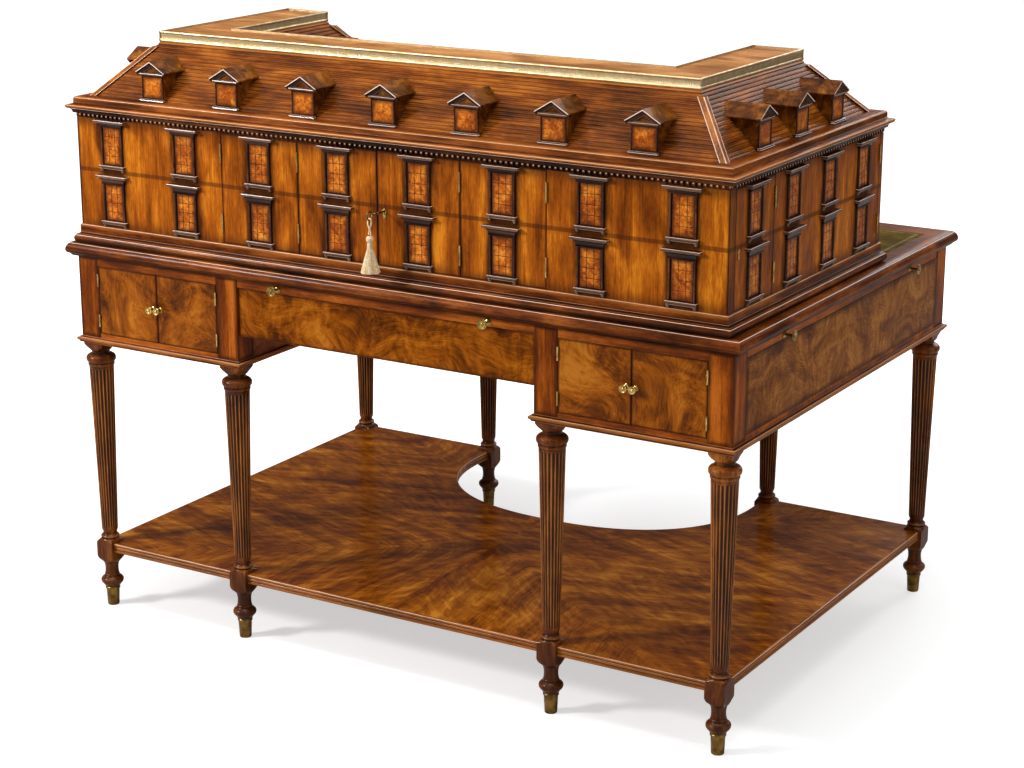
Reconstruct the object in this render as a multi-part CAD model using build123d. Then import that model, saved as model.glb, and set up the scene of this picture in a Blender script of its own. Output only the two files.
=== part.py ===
from build123d import *
import os
from math import ceil, cos, pi, radians, sin

os.makedirs("parts", exist_ok=True)

# The desk is modelled in millimetres, standing on its feet at Z = 0, with its top centred on
# X and Y. The palace facade faces -Y and the sitter's side faces +Y. Each piece is then saved
# with the origin in the middle of the whole footprint, from the key's bow to the far nose.

# --- driving dimensions: desk --------------------------------------------------------------
top_width = 1504          # over the nose of the top's moulding
top_depth = 1030
top_height = 786          # floor to the writing surface
top_thickness = 29
nose_height = 12.5        # nose of the moulding above the underside of the top
nose_overhang = 18        # nose beyond the case
edge_run = 10.5           # flat field of the top, back from the nose
leather_border = 46       # wood left beside the writing leather
leather_far_border = 70   # wood left between the leather and the sitter's edge
leather_thickness = 1.2
court_border = 34         # wood left between the leather and the cabinet's plinth

case_height = 167         # posts, doors and slides, under the top
post_width = 50
kneehole_width = 670      # between the inner posts
apron_height = 98
apron_recess = 5
panel_thickness = 16
floor_thickness = 9
rail_height = 17.5
rail_depth = 30
moulding_height = 14      # base board of each pedestal
moulding_overhang = 8
board_thickness = 8       # dust boards under the slides
guide_width = 12          # strips that steer the drawers

# --- driving dimensions: legs and undershelf -----------------------------------------------
leg_top_square = 46.4
leg_block_square = 40.6
tenon_radius = 10
tenon_length = 40
shaft_top_radius = 25.2
shaft_foot_radius = 16.6
flute_count = 20
flute_land = 0.5          # share of a flute's pitch left as the land between flutes
flute_depth = 0.075       # depth of a flute over the shaft's radius
sabot_height = 42
sabot_foot_radius = 12
sabot_top_radius = 13.8
sabot_wall = 1.5
shelf_height = 141        # floor to the top of the undershelf
shelf_thickness = 20
shelf_setback = 7.5       # shelf edge behind the faces of the leg blocks
reed_height = 5.6
reed_depth = 2.4
cutout_width = 700
cutout_depth = 300        # depth of the rounded end of the cut-out
cutout_end = 120          # where the cut-out's round end stops short of Y = 0
cutout_power = 2.3        # superellipse power of that end

# --- driving dimensions: cabinet -----------------------------------------------------------
cabinet_width = 1436
cabinet_length = 665      # facade to the outer face of the wing-end doors
range_depth = 344         # depth of the front range and width of each wing
plinth_height = 38
plinth_step = 3           # fascia proud of the walls
torus_radius = 9.6
torus_overhang = 13
wall_height = 216.5
wall_thickness = 20
inner_wall_thickness = 12
ceiling_thickness = 8
cornice_height = 40.5
cornice_overhang = 16
roof_inset = 23
roof_run = 98
roof_rise = 102
roof_wall = 12
course_count = 15
course_lap = 1.8
band_height = 9
deck_thickness = 18
gallery_height = 21
gallery_wall = 2.5
gallery_lip = 1.6
hip_arm = 13
hip_thickness = 3
dentil_width = 5.8
dentil_pitch = 11.2
dentil_projection = 5
dentil_height = 5.6

# --- driving dimensions: windows and dormers -----------------------------------------------
pane_width = 44
jamb_width = 5
jamb_projection = 4
hood_width = 76
hood_projection = 12
hood_slab = 5
sill_width = 62
sill_projection = 8
sill_slab = 4.5
bracket_width = 6
bracket_height = 8
upper_pane_rise = (167, 240)  # sill and head of the upper panes above the desk's top
lower_pane_rise = (55, 124)
lower_hood_rise = 20.5        # top of a lower hood above its pane
hood_gap = 0.5                # upper hoods stay this far under the top of the walls
facade_pitch = 180
side_pitch = 157
dormer_width = 52
dormer_eaves = 58.5             # wall of a dormer above the roof's base
dormer_rise = 15.5
dormer_overhang = 12.5
dormer_sill = 6
dormer_tile = 4

# --- driving dimensions: moving parts ------------------------------------------------------
door_gap = 0.8
pair_gap = 1.6            # between two leaves that meet, so that one swings past the other
door_thickness = 18
cupboard_width = 722          # opening behind the four facade leaves
hinge_height = 37
small_hinge_height = 26
hinge_radius = 1.8
pin_radius = 0.8
pin_clearance = 0.08
hinge_plate = 1.2
hinge_depth = 12
end_door_thickness = 18
side_door_thickness = 15
slide_thickness = 16.5
slide_clearance = 0.4
centre_slide_depth = 345
side_slide_inset = 28       # inner end of a side slide past its bay's inner edge
drawer_side = 10
drawer_depth = 440
drawer_height = 128
door_knob_radius = 7.6
door_knob_length = 19
slide_knob_radius = 10
slide_knob_length = 24
knob_plate_share = 0.7    # radius of a knob's plate over that of its head
knob_disc = 4.6           # thickness of a knob's head
door_knob_spread = 9.2    # middle of a door's knob beside the seam between its two leaves
drawer_knob_spread = 75   # middle of a drawer's knob beside the drawer's middle
key_height = 105          # above the cabinet's floor
key_projection = 60
key_shank_radius = 1.8
key_hole_clearance = 0.4
bow_radius = 8.8
bow_wire_radius = 1.4
tassel_height = 71
tassel_radius = 18.8
cord_diameter = 2.8
soft_clearance = 0.3

# --- places worked out from the driving dimensions -----------------------------------------
top_underside = top_height - top_thickness
case_bottom = top_underside - case_height
leg_top = case_bottom - moulding_height
case_x = top_width / 2 - nose_overhang
case_y = top_depth / 2 - nose_overhang
inner_x = kneehole_width / 2
leg_xs = (case_x - post_width / 2, inner_x + post_width / 2)
leg_y = case_y - post_width / 2
door_bottom = case_bottom + floor_thickness
door_top = top_underside - rail_height
bay_x0 = inner_x + post_width
bay_x1 = case_x - post_width
side_slide_length = 2 * (leg_y - post_width / 2 - 2)

cabinet_x = cabinet_width / 2
cabinet_front = -case_y
cabinet_end = cabinet_front + cabinet_length
court_x = cabinet_x - range_depth
court_y = cabinet_front + range_depth
wall_bottom = top_height + plinth_height
wall_top = wall_bottom + wall_height
end_wall_y = cabinet_end - end_door_thickness
roof_base = wall_top + cornice_height
roof_top = roof_base + roof_rise
cupboard_x = cupboard_width / 2
facade_columns = [facade_pitch * (n + 0.5) for n in range(4)]
side_middle = (cabinet_front + cabinet_end) / 2
side_columns = [side_middle + side_pitch * (n - 1.5) for n in range(4)]
side_seam = (side_columns[0] + side_columns[1]) / 2
end_columns = [court_x + range_depth / 4, cabinet_x - range_depth / 4]
court_columns = [court_y + (cabinet_end - court_y) * share for share in (0.25, 0.75)]
hinge_heights = [wall_bottom + 41, wall_top - 40]
footprint_middle = (top_depth / 2 - (case_y + key_projection)) / 2


def block(x0, x1, y0, y1, z0, z1):
    """A board between two opposite corners."""
    middle = Pos((x0 + x1) / 2, (y0 + y1) / 2, (z0 + z1) / 2)
    return middle * Box(abs(x1 - x0), abs(y1 - y0), abs(z1 - z0))


def mirrored(piece):
    """The same piece on the other side of the desk's middle plane."""
    return mirror(piece, about=Plane.YZ)


def pair(*pieces):
    """The pieces and their mirror images."""
    return [*pieces, *[mirrored(piece) for piece in pieces]]


def save(name, *pieces):
    """Write one sub-part, each of its solids on its own, moved to the footprint's middle."""
    place = Pos(0, -footprint_middle, 0)
    solids = [solid for piece in pieces for solid in (place * piece).solids()]
    export_step(Compound(solids), f"parts/{name}.step")


def fused(pieces):
    """One solid made of pieces that grow out of each other."""
    whole = pieces[0]
    for piece in pieces[1:]:
        whole = whole + piece
    return whole


def revolved(outline):
    """A turned solid from (radius, height) points, closed down the axis."""
    bottom, top = outline[0][1], outline[-1][1]
    points = [(0, bottom), *outline, (0, top)]
    return revolve(Plane.XZ * make_face(Polyline(*points, close=True)), Axis.Z)


def arc_points(centre, radius, start, end, steps):
    """Points on an arc of the (outward, height) plane, from start to end in degrees."""
    angles = [radians(start + (end - start) * n / steps) for n in range(steps + 1)]
    return [(centre[0] + radius * cos(a), centre[1] + radius * sin(a)) for a in angles]


# --- the cabinet's U-shaped plan -----------------------------------------------------------
def u_points(inset):
    """Corners of the U plan, moved inwards from the wall faces by inset."""
    x, c = cabinet_x - inset, court_x + inset
    front, court, end = cabinet_front + inset, court_y - inset, cabinet_end - inset
    return [(-x, front), (x, front), (x, end), (c, end), (c, court), (-c, court), (-c, end), (-x, end)]


def u_face(inset, z):
    """The U plan as a level face."""
    return Pos(0, 0, z) * make_face(Polyline(*u_points(inset), close=True))


def u_solid(rings):
    """A solid over the U plan whose mitred faces run through (inset, height) rings."""
    return loft([u_face(inset, z) for inset, z in rings], ruled=True)


# --- hinges --------------------------------------------------------------------------------
def hinge(height):
    """A butt hinge about Z: the fixed leaf with its pin at +X, the swinging leaf at -X, both
    let into wood that starts one barrel radius behind the axis."""
    third = height / 3
    face = hinge_radius
    barrel = Cylinder(hinge_radius, height)
    bore = Cylinder(pin_radius + pin_clearance, height)
    outer = block(-face, face, -face, face + 0.2, third / 2, height / 2)
    middle = block(-face, face, -face, face + 0.2, -third / 2 + 0.15, third / 2 - 0.15)
    plate_x = (0.05, 0.05 + hinge_plate)
    web = block(*plate_x, pin_radius + 0.4, face + 0.2, -height / 2, height / 2)
    plate = block(*plate_x, face + 0.1, face + hinge_depth, -height / 2, height / 2)
    ends = outer + mirror(outer, about=Plane.XY)
    pin = Cylinder(pin_radius, height)
    fixed = ((barrel + web) & ends) - bore
    moving = ((barrel + mirrored(web)) & middle) - bore
    return [fixed + plate, pin], [moving + mirrored(plate)]


def mortise(side):
    """The recess for a hinge leaf, at +X for side 1 and at -X for side -1."""
    deep = 0.05 + hinge_plate + 0.05
    return lambda height: block(0, side * deep, 0, hinge_radius + hinge_depth + 0.1,
                                -height / 2, height / 2)


# --- windows -------------------------------------------------------------------------------
def tapered(width0, depth0, z0, width1, depth1, z1):
    """A moulding that stands on a wall at Y = 0 and flares from one section to another."""
    low = Pos(0, -depth0 / 2, z0) * Rectangle(width0, depth0)
    high = Pos(0, -depth1 / 2, z1) * Rectangle(width1, depth1)
    return loft([low, high], ruled=True)


def window(pane, hood_top):
    """A window surround on a wall at Y = 0 that faces -Y: jambs, hood, sill and brackets."""
    sill, head = pane
    frame = pane_width + 2 * jamb_width
    jamb = block(pane_width / 2, frame / 2, -jamb_projection, 0, sill, head)
    bed = tapered(frame, jamb_projection + 1, head, hood_width - 10, hood_projection - 3,
                  hood_top - hood_slab)
    slab = tapered(hood_width - 3, hood_projection - 1, hood_top - hood_slab,
                   hood_width, hood_projection, hood_top)
    shelf = tapered(sill_width - 4, sill_projection - 1, sill - sill_slab,
                    sill_width, sill_projection, sill)
    bracket_x = sill_width / 2 - bracket_width / 2 - 2
    bracket = Pos(bracket_x, 0, 0) * tapered(
        bracket_width, 3, sill - sill_slab - bracket_height,
        bracket_width, sill_projection - 1.5, sill - sill_slab)
    return fused([*pair(jamb), bed, slab, shelf, *pair(bracket)])


upper_pane = [top_height + rise for rise in upper_pane_rise]
lower_pane = [top_height + rise for rise in lower_pane_rise]
upper_window = window(upper_pane, wall_top - hood_gap)
lower_window = window(lower_pane, lower_pane[1] + lower_hood_rise)


def windows_on(places, turn):
    """Both storeys of windows at each (x, y) place on walls that face one way."""
    spots = [Pos(x, y, 0) * Rot(0, 0, turn) for x, y in places]
    return [spot * storey for spot in spots for storey in (upper_window, lower_window)]


# --- legs ----------------------------------------------------------------------------------
def sabot_radius(z):
    """Outer radius of the sabot's cone at a height."""
    return sabot_foot_radius + (sabot_top_radius - sabot_foot_radius) * z / sabot_height


def make_sabot():
    """Tapered brass cup with a ring at its mouth."""
    cone = Pos(0, 0, sabot_height / 2) * Cone(sabot_foot_radius, sabot_top_radius, sabot_height)
    ring = Pos(0, 0, sabot_height - 3.5) * Cylinder(sabot_top_radius + 1, 3)
    hollow = Pos(0, 0, sabot_height / 2 + sabot_wall) * Cone(
        sabot_foot_radius - sabot_wall, sabot_top_radius - sabot_wall, sabot_height)
    return fillet((cone + ring).edges().group_by(Axis.Z)[0], 1.5) - hollow


def fluted_face(radius):
    """Section of the shaft: a circle hollowed by concave flutes with narrow lands between."""
    land, deep = flute_land / 2, radius * (1 - flute_depth)
    edges = []
    for n in range(flute_count):
        middle, step = 2 * pi * n / flute_count, pi / flute_count
        land_angle = land * step
        at = lambda angle, r: (r * cos(angle), r * sin(angle))
        start, end = middle - step + land_angle, middle + step - land_angle
        edges.append(ThreePointArc(at(start, radius), at(middle, deep), at(end, radius)))
        edges.append(Line(at(end, radius), at(middle + step + land_angle, radius)))
    return make_face(edges)


def make_leg():
    """Turned leg: peg, baluster foot, square block, fluted shaft, collar and square top."""
    fit = 0.1
    block_low, block_high = 97, 150
    peg = [(sabot_foot_radius - sabot_wall - fit, sabot_wall + fit),
           (sabot_top_radius - sabot_wall - fit, sabot_height)]
    foot = [(14.6, sabot_height), (17.5, 45.5), *arc_points((15.5, 56), 8, -62, 62, 8),
            (16, 66.5), (14.4, 72), (13.6, 80), (13.7, 86), (14.8, 92), (16.6, block_low)]
    neck = [(17.6, block_high), *arc_points((16.2, 154), 3, -70, 70, 6), (14.4, 159), (14.2, 163)]
    collar_z = leg_top - 50
    collar = [(shaft_top_radius, collar_z), (27, collar_z + 2), (27, collar_z + 6),
              *arc_points((22, collar_z + 14.5), 8.2, -60, 60, 8), (21, collar_z + 23),
              (18.4, collar_z + 26), (18.4, collar_z + 30)]
    shoulder = [(20, collar_z + 32.5), *arc_points((20, leg_top - 2), 14, -75, -10, 5)]
    foot_turning = revolved([*peg, *foot, *neck, (15.4, 166.5), (shaft_foot_radius, 170)])
    collar_turning = revolved([*collar, (19, collar_z + 32)])
    shaft = loft([Pos(0, 0, 170) * fluted_face(shaft_foot_radius),
                  Pos(0, 0, collar_z) * fluted_face(shaft_top_radius)], ruled=True)
    top_turn = revolved([(18, collar_z + 30), *shoulder, (40, leg_top)])
    top_square = block(-leg_top_square / 2, leg_top_square / 2, -leg_top_square / 2,
                       leg_top_square / 2, collar_z + 30, leg_top)
    cap = top_turn & top_square
    half = leg_block_square / 2
    turned = [(16.6, block_low), *arc_points((16.6, block_low + 16), 12.5, -75, 0, 5),
              *arc_points((18, block_high - 11), 11.2, 0, 80, 5),
              (17.4, block_high)]
    square = revolved(turned) & block(-half, half, -half, half, block_low, block_high)
    tenon = Pos(0, 0, leg_top + tenon_length / 2) * Cylinder(tenon_radius, tenon_length)
    return fused([foot_turning, shaft, collar_turning, square, cap, tenon])


leg_places = [(sx * x, sy * leg_y) for sy in (-1, 1) for x in leg_xs for sx in (-1, 1)]
leg = make_leg()
sabot = make_sabot()
save("legs", *[Pos(x, y, 0) * leg for x, y in leg_places])
save("sabots", *[Pos(x, y, 0) * sabot for x, y in leg_places])


# --- undershelf ----------------------------------------------------------------------------
def shelf_outline(setback):
    """Plan of the undershelf, with its reeded edge at setback 0: a board with square notches
    round the leg blocks and a superellipse cut out of the sitter's side."""
    edge = leg_block_square / 2 - shelf_setback
    x = leg_xs[0] + edge - setback
    y = leg_y + edge - setback
    a, b = cutout_width / 2 + setback, cutout_depth + setback
    middle = cutout_end + cutout_depth
    steps = 10
    angles = [pi / 2 * n / steps for n in range(steps + 1)]
    side = [(a * cos(t) ** (2 / cutout_power), middle - b * sin(t) ** (2 / cutout_power))
            for t in angles]
    curve = [*side, *[(-px, py) for px, py in reversed(side[:-1])]]
    arc = Spline(*curve, tangents=[(0, -1), (0, 1)])
    rest = Polyline((-a, middle), (-a, y), (-x, y), (-x, -y), (x, -y), (x, y), (a, y), (a, middle))
    return make_face([arc, rest])


def make_shelf():
    """The board with three reeds round its edge, notched round the eight blocks."""
    low = shelf_height - shelf_thickness
    core = Pos(0, 0, low) * extrude(shelf_outline(reed_depth), shelf_thickness)
    gap = (shelf_thickness - 3 * reed_height) / 2
    for n in range(3):
        reed = extrude(shelf_outline(0), reed_height)
        core = core + Pos(0, 0, low + n * (reed_height + gap)) * reed
    half = leg_block_square / 2
    for x, y in leg_places:
        core = core - block(x - half, x + half, y - half, y + half, low, shelf_height)
    return core


save("undershelf", make_shelf())


# --- posts and cases -----------------------------------------------------------------------
def hinge_on(spot, height):
    """Fixed leaf with pin, swinging leaf and both mortises of one hinge, set at a spot."""
    fixed, moving = hinge(height)
    place = lambda pieces: [spot * piece for piece in pieces]
    return place(fixed), place(moving), spot * mortise(1)(height), spot * mortise(-1)(height)


base_hinge_z = [door_bottom + 28, door_top - 29]
base_axis_y = -case_y - hinge_radius
fixed_hinges = []
outer_spots = [Pos(bay_x1 - door_gap / 2, base_axis_y, z) for z in base_hinge_z]
inner_spots = [Pos(bay_x0 + door_gap / 2, base_axis_y, z) for z in base_hinge_z]


def make_post(x, y):
    """Square post with a bore for the leg's tenon."""
    half = post_width / 2
    post = block(x - half, x + half, y - half, y + half, case_bottom, top_underside)
    bore = Pos(x, y, case_bottom + tenon_length / 2) * Cylinder(tenon_radius + 0.1, tenon_length)
    return post - bore


outer_hinges = [hinge_on(spot, small_hinge_height) for spot in outer_spots]
inner_hinges = [hinge_on(spot, small_hinge_height) for spot in inner_spots]
inner_hinges = [(
    [spot * mirrored(piece) for piece in hinge(small_hinge_height)[0]],
    [spot * mirrored(piece) for piece in hinge(small_hinge_height)[1]],
    spot * mirrored(mortise(1)(small_hinge_height)),
    spot * mirrored(mortise(-1)(small_hinge_height))) for spot in inner_spots]
for made in (*outer_hinges, *inner_hinges):
    fixed_hinges += pair(*made[0])

right_posts = {(x, sy): make_post(x, sy * leg_y) for x in leg_xs for sy in (-1, 1)}
for made in outer_hinges:
    right_posts[(leg_xs[0], -1)] -= made[2]
for made in inner_hinges:
    right_posts[(leg_xs[1], -1)] -= made[2]
save("posts", *pair(*right_posts.values()))

base_board = block(inner_x - moulding_overhang, case_x + moulding_overhang,
                   -case_y - moulding_overhang, case_y + moulding_overhang, leg_top, case_bottom)
base_board = fillet(base_board.edges().filter_by(Plane.XY).group_by(Axis.Z)[-1], 6)
for x in leg_xs:
    for sy in (-1, 1):
        base_board = base_board - Pos(x, sy * leg_y, leg_top + moulding_height / 2) * Cylinder(
            tenon_radius + 0.1, moulding_height)
save("base_mouldings", *pair(base_board))

dust_top = top_underside - rail_height
side_panel_x = case_x - panel_thickness
drawer_front_y = case_y - door_thickness


def make_case():
    """Boards of the right pedestal: floor, inner side, division, dust board, rails and guides."""
    post_y = case_y - post_width
    floor = block(inner_x, case_x, -case_y, case_y, case_bottom, door_bottom)
    for x in leg_xs:
        for sy in (-1, 1):
            half = post_width / 2
            floor = floor - block(x - half, x + half, sy * leg_y - half, sy * leg_y + half,
                                  case_bottom, door_bottom)
    side = block(inner_x, inner_x + panel_thickness, -post_y, post_y, door_bottom, top_underside)
    division = block(inner_x + panel_thickness, side_panel_x, -panel_thickness / 2,
                     panel_thickness / 2, door_bottom, dust_top - board_thickness)
    dust = block(inner_x + panel_thickness, side_panel_x, -post_y, post_y,
                 dust_top - board_thickness, dust_top)
    rails = [block(bay_x0, bay_x1, sy * case_y, sy * (case_y - rail_depth), dust_top, top_underside)
             for sy in (-1, 1)]
    guides = [block(bay_x0 - guide_width, bay_x0, panel_thickness / 2, post_y, door_bottom,
                    door_bottom + guide_width),
              block(bay_x1, bay_x1 + guide_width, panel_thickness / 2, post_y, door_bottom,
                    door_bottom + guide_width)]
    return [floor, side, division, dust, *rails, *guides]


right_case = make_case()
save("pedestal_cases", *pair(*right_case))

apron_top = dust_top
apron_bottom = apron_top - apron_height
post_inner_y = case_y - post_width
side_panel = block(side_panel_x, case_x, -post_inner_y, post_inner_y, door_bottom, dust_top)
aprons = [block(-inner_x, inner_x, sy * (case_y - apron_recess),
                sy * (case_y - apron_recess - panel_thickness), apron_bottom, apron_top)
          for sy in (-1, 1)]
save("frieze_panels", *pair(side_panel), *aprons)

frame_y = case_y - apron_recess - panel_thickness
sitter_rail = block(-inner_x, inner_x, case_y - rail_depth, case_y - apron_recess, apron_top,
                    top_underside)
kneehole_board = block(-inner_x, inner_x, -frame_y, frame_y, dust_top - board_thickness, dust_top)
save("kneehole_frame", kneehole_board, sitter_rail)


# --- desk top ------------------------------------------------------------------------------
def make_top():
    """The top board: a flat field, a quarter round down to the nose and an undercut below it."""
    def level(inset, z):
        return Pos(0, 0, z) * Rectangle(top_width - 2 * inset, top_depth - 2 * inset)
    nose_z = top_underside + nose_height
    drop = top_height - nose_z
    rings = [(nose_overhang * 0.6, top_underside), (6, top_underside + 6), (1, nose_z - 2.5),
             (0, nose_z), (edge_run * 0.08, nose_z + drop * 0.33), (edge_run * 0.3, nose_z + drop * 0.64),
             (edge_run * 0.62, nose_z + drop * 0.86), (edge_run, top_height)]
    return loft([level(inset, z) for inset, z in rings], ruled=True)


def leather_outline(clearance):
    """T-shaped field: a strip behind the wings and a stem into the courtyard."""
    x = top_width / 2 - leather_border - clearance
    far = top_depth / 2 - leather_far_border - clearance
    near = cabinet_end + court_border + clearance
    stem = court_x - court_border - clearance
    start = court_y + court_border + clearance
    return make_face(Polyline((-stem, start), (stem, start), (stem, near), (x, near), (x, far),
                              (-x, far), (-x, near), (-stem, near), close=True))


leather_z = top_height - leather_thickness
desk_top = make_top() - Pos(0, 0, leather_z) * extrude(leather_outline(0), leather_thickness + 1)
save("desk_top", desk_top)
save("writing_leather", Pos(0, 0, leather_z) * extrude(leather_outline(0.2), leather_thickness))

# --- cabinet plinth, walls and partitions --------------------------------------------------
torus_z = top_height + torus_radius - 0.4
torus = [(-out, z) for out, z in arc_points((torus_overhang - torus_radius, torus_z),
                                            torus_radius, -65, 80, 10)]
plinth = u_solid([(-1, top_height), *torus, (-plinth_step, torus_z + torus_radius + 0.5),
                  (-plinth_step, wall_bottom - 1.5), (-plinth_step + 1.5, wall_bottom)])
plinth_rail = 34
plinth = plinth - u_solid([(plinth_rail, top_height), (plinth_rail, wall_bottom - floor_thickness)])
save("cabinet_plinth", plinth)

court_wall_z = (wall_bottom, wall_top)
front_wall = block(cupboard_x, cabinet_x, cabinet_front, cabinet_front + wall_thickness, *court_wall_z)
side_wall = block(cabinet_x - wall_thickness, cabinet_x, side_seam + door_gap, end_wall_y, *court_wall_z)
court_wall = block(court_x, court_x + inner_wall_thickness, court_y - inner_wall_thickness,
                   end_wall_y, *court_wall_z)
back_wall = block(-court_x, court_x, court_y - inner_wall_thickness, court_y, *court_wall_z)

facade_axis_y = cabinet_front - hinge_radius
facade_spots = [Pos(cupboard_x - door_gap / 2, facade_axis_y, z) for z in hinge_heights]
fold_spots = [Pos(facade_pitch, facade_axis_y, z) for z in hinge_heights]
side_axis_x = cabinet_x + hinge_radius
side_spots = [Pos(side_axis_x, side_seam + door_gap / 2, z) * Rot(0, 0, 90) for z in hinge_heights]
end_spots = [Pos(side_axis_x, end_wall_y + 0.3, z) * Rot(0, 0, -90) for z in hinge_heights]
facade_hinges = [hinge_on(spot, hinge_height) for spot in facade_spots]
fold_hinges = [hinge_on(spot, hinge_height) for spot in fold_spots]
side_hinges = [hinge_on(spot, hinge_height) for spot in side_spots]


def end_hinge(spot, height):
    """A hinge for the overlaid wing-end door, whose swinging leaf lies behind the door."""
    fixed, moving = hinge(height)
    return ([spot * mirrored(piece) for piece in fixed], [spot * mirrored(piece) for piece in moving],
            spot * mirrored(mortise(1)(height)), spot * mirrored(mortise(-1)(height)))


end_hinges = [end_hinge(Pos(side_axis_x, end_wall_y + 0.3, z) * Rot(0, 0, 90), hinge_height)
              for z in hinge_heights]
for made in facade_hinges:
    front_wall = front_wall - made[2]
for made in (*side_hinges, *end_hinges):
    side_wall = side_wall - made[2]
for made in (*facade_hinges, *side_hinges, *end_hinges):
    fixed_hinges += pair(*made[0])
save("cabinet_walls", *pair(front_wall, side_wall, court_wall), back_wall)
save("fixed_hinge_leaves", *fixed_hinges)

centre_back = court_y - inner_wall_thickness
centre_side = block(cupboard_x, cupboard_x + inner_wall_thickness,
                    cabinet_front + wall_thickness, centre_back, *court_wall_z)
corner_back = block(cupboard_x + inner_wall_thickness, cabinet_x - wall_thickness,
                    side_seam + 12, side_seam + 12 + inner_wall_thickness, *court_wall_z)
shelf_front = cabinet_front + wall_thickness + 8
pigeon_x = facade_pitch / 2 * 1.33
pigeon = block(pigeon_x, pigeon_x + board_thickness, shelf_front, centre_back, *court_wall_z)
middle_z = (lower_pane[1] + upper_pane[0]) / 2
centre_shelf = block(-pigeon_x, pigeon_x, shelf_front, centre_back, middle_z, middle_z + board_thickness)
wing_shelf = block(court_x + inner_wall_thickness, cabinet_x - wall_thickness,
                   side_seam + 12 + inner_wall_thickness, end_wall_y - 8,
                   middle_z, middle_z + board_thickness)
save("cabinet_partitions", *pair(centre_side, corner_back, pigeon, wing_shelf), centre_shelf)

# --- fixed windows -------------------------------------------------------------------------
fixed_windows = [
    *windows_on([(sx * x, cabinet_front) for sx in (-1, 1) for x in facade_columns[2:]], 0),
    *windows_on([(cabinet_x, y) for y in side_columns[1:]], 90),
    *windows_on([(-cabinet_x, y) for y in side_columns[1:]], -90),
    *windows_on([(sx * x, court_y) for sx in (-1, 1) for x in facade_columns[:2]], 180),
    *windows_on([(court_x, y) for y in court_columns], -90),
    *windows_on([(-court_x, y) for y in court_columns], 90),
]
save("fixed_windows", *fixed_windows)

# --- cornice, dentils and roof -------------------------------------------------------------
ceiling_z = wall_top + ceiling_thickness
lip_z = wall_top + 24
cove = [(-out, z) for out, z in arc_points((cornice_overhang - 3, ceiling_z + 1.5), 8, 180, 90, 6)]
blocking = cornice_overhang - 12
cornice = u_solid([(0, wall_top), (0, ceiling_z), (-5, ceiling_z + 0.3), *cove,
                   (-cornice_overhang + 1.5, lip_z - 4), (-cornice_overhang, lip_z - 1),
                   (-cornice_overhang, lip_z), (-blocking - 1.5, lip_z + 3.5),
                   (-blocking, lip_z + 5), (-blocking, roof_base - 4),
                   (-blocking + 1.2, roof_base - 1.2), (-blocking + 4, roof_base)])
cornice_rail = 44
cornice = cornice - u_solid([(cornice_rail, ceiling_z), (cornice_rail, roof_base)])
save("cornice", cornice)


def dentil_strip(length):
    """A comb of dentils along X, centred, standing on a wall at Y = 0 that faces -Y."""
    backing = 1.2
    count = int((length - dentil_width) / dentil_pitch)
    start = -(count - 1) * dentil_pitch / 2
    points = [(-length / 2, 0), (-length / 2, -backing)]
    for n in range(count):
        x = start + n * dentil_pitch
        left, right = x - dentil_width / 2, x + dentil_width / 2
        points += [(left, -backing), (left, -dentil_projection),
                   (right, -dentil_projection), (right, -backing)]
    points += [(length / 2, -backing), (length / 2, 0)]
    strip = extrude(make_face(Polyline(*points, close=True)), dentil_height)
    return Pos(0, 0, ceiling_z - dentil_height - 0.1) * strip


clear = 2 * dentil_projection
court_run = cabinet_end - court_y
side_strip = dentil_strip(cabinet_length)
court_strip = Pos(0, clear / 4, 0) * dentil_strip(court_run)
dentils = [
    Pos(0, cabinet_front, 0) * dentil_strip(cabinet_width),
    *pair(Pos(cabinet_x, side_middle, 0) * Rot(0, 0, 90) * side_strip),
    *pair(Pos(cabinet_x - range_depth / 2, cabinet_end, 0) * Rot(0, 0, 180) * dentil_strip(range_depth)),
    *pair(Pos(court_x, (court_y + cabinet_end) / 2 + clear / 2, 0) * Rot(0, 0, -90)
          * dentil_strip(court_run - clear)),
    Pos(0, court_y, 0) * Rot(0, 0, 180) * dentil_strip(2 * court_x - 2),
]
save("dentil_course", *dentils)


def roof_line(z):
    """Inset of the plain roof slope at a height."""
    return roof_inset + roof_run * (z - roof_base) / roof_rise


def make_roof():
    """Hollow mansard whose slopes carry lapped courses under a plain band."""
    band_z = roof_top - band_height
    step = (band_z - roof_base) / course_count
    rings = [(roof_inset, roof_base)]
    for n in range(1, course_count + 1):
        z = roof_base + n * step
        rings += [(roof_line(z) + course_lap, z - 0.3), (roof_line(z), z)]
    rings += [(roof_line(roof_top), roof_top)]
    outside = u_solid(rings)
    inside = u_solid([(roof_inset + roof_wall, roof_base),
                      (roof_line(roof_top) + roof_wall, roof_top - roof_wall)])
    return outside - inside


save("mansard_roof", make_roof())
deck_inset = roof_line(roof_top)
deck_face = u_face(deck_inset + gallery_wall, roof_top)
save("roof_deck", extrude(deck_face, deck_thickness))


def make_gallery():
    """Brass band round the deck with a lip along its top and foot."""
    def band(inset, z0, z1):
        ring = u_face(inset, z0) - u_face(deck_inset + gallery_wall, z0)
        return extrude(ring, z1 - z0)
    top = roof_top + gallery_height
    return fused([band(deck_inset, roof_top, top),
                  band(deck_inset - gallery_lip, roof_top, roof_top + 2.5),
                  band(deck_inset - gallery_lip, top - 2.5, top)])


save("gallery", make_gallery())


def hip_board(x, y, sx, sy):
    """An angle board over a hip that starts at the (x, y) plan corner and climbs inwards
    along (sx, sy)."""
    def section(z):
        inset = roof_line(z) - hip_thickness
        ax, ay = x + sx * inset, y + sy * inset
        t, arm = hip_thickness, hip_arm
        outline = [(0, 0), (arm, 0), (arm, t), (t, t), (t, arm), (0, arm)]
        points = [(ax + sx * px, ay + sy * py) for px, py in outline]
        return Pos(0, 0, z) * make_face(Polyline(*points, close=True))
    return loft([section(roof_base), section(roof_top - band_height)], ruled=True)


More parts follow.
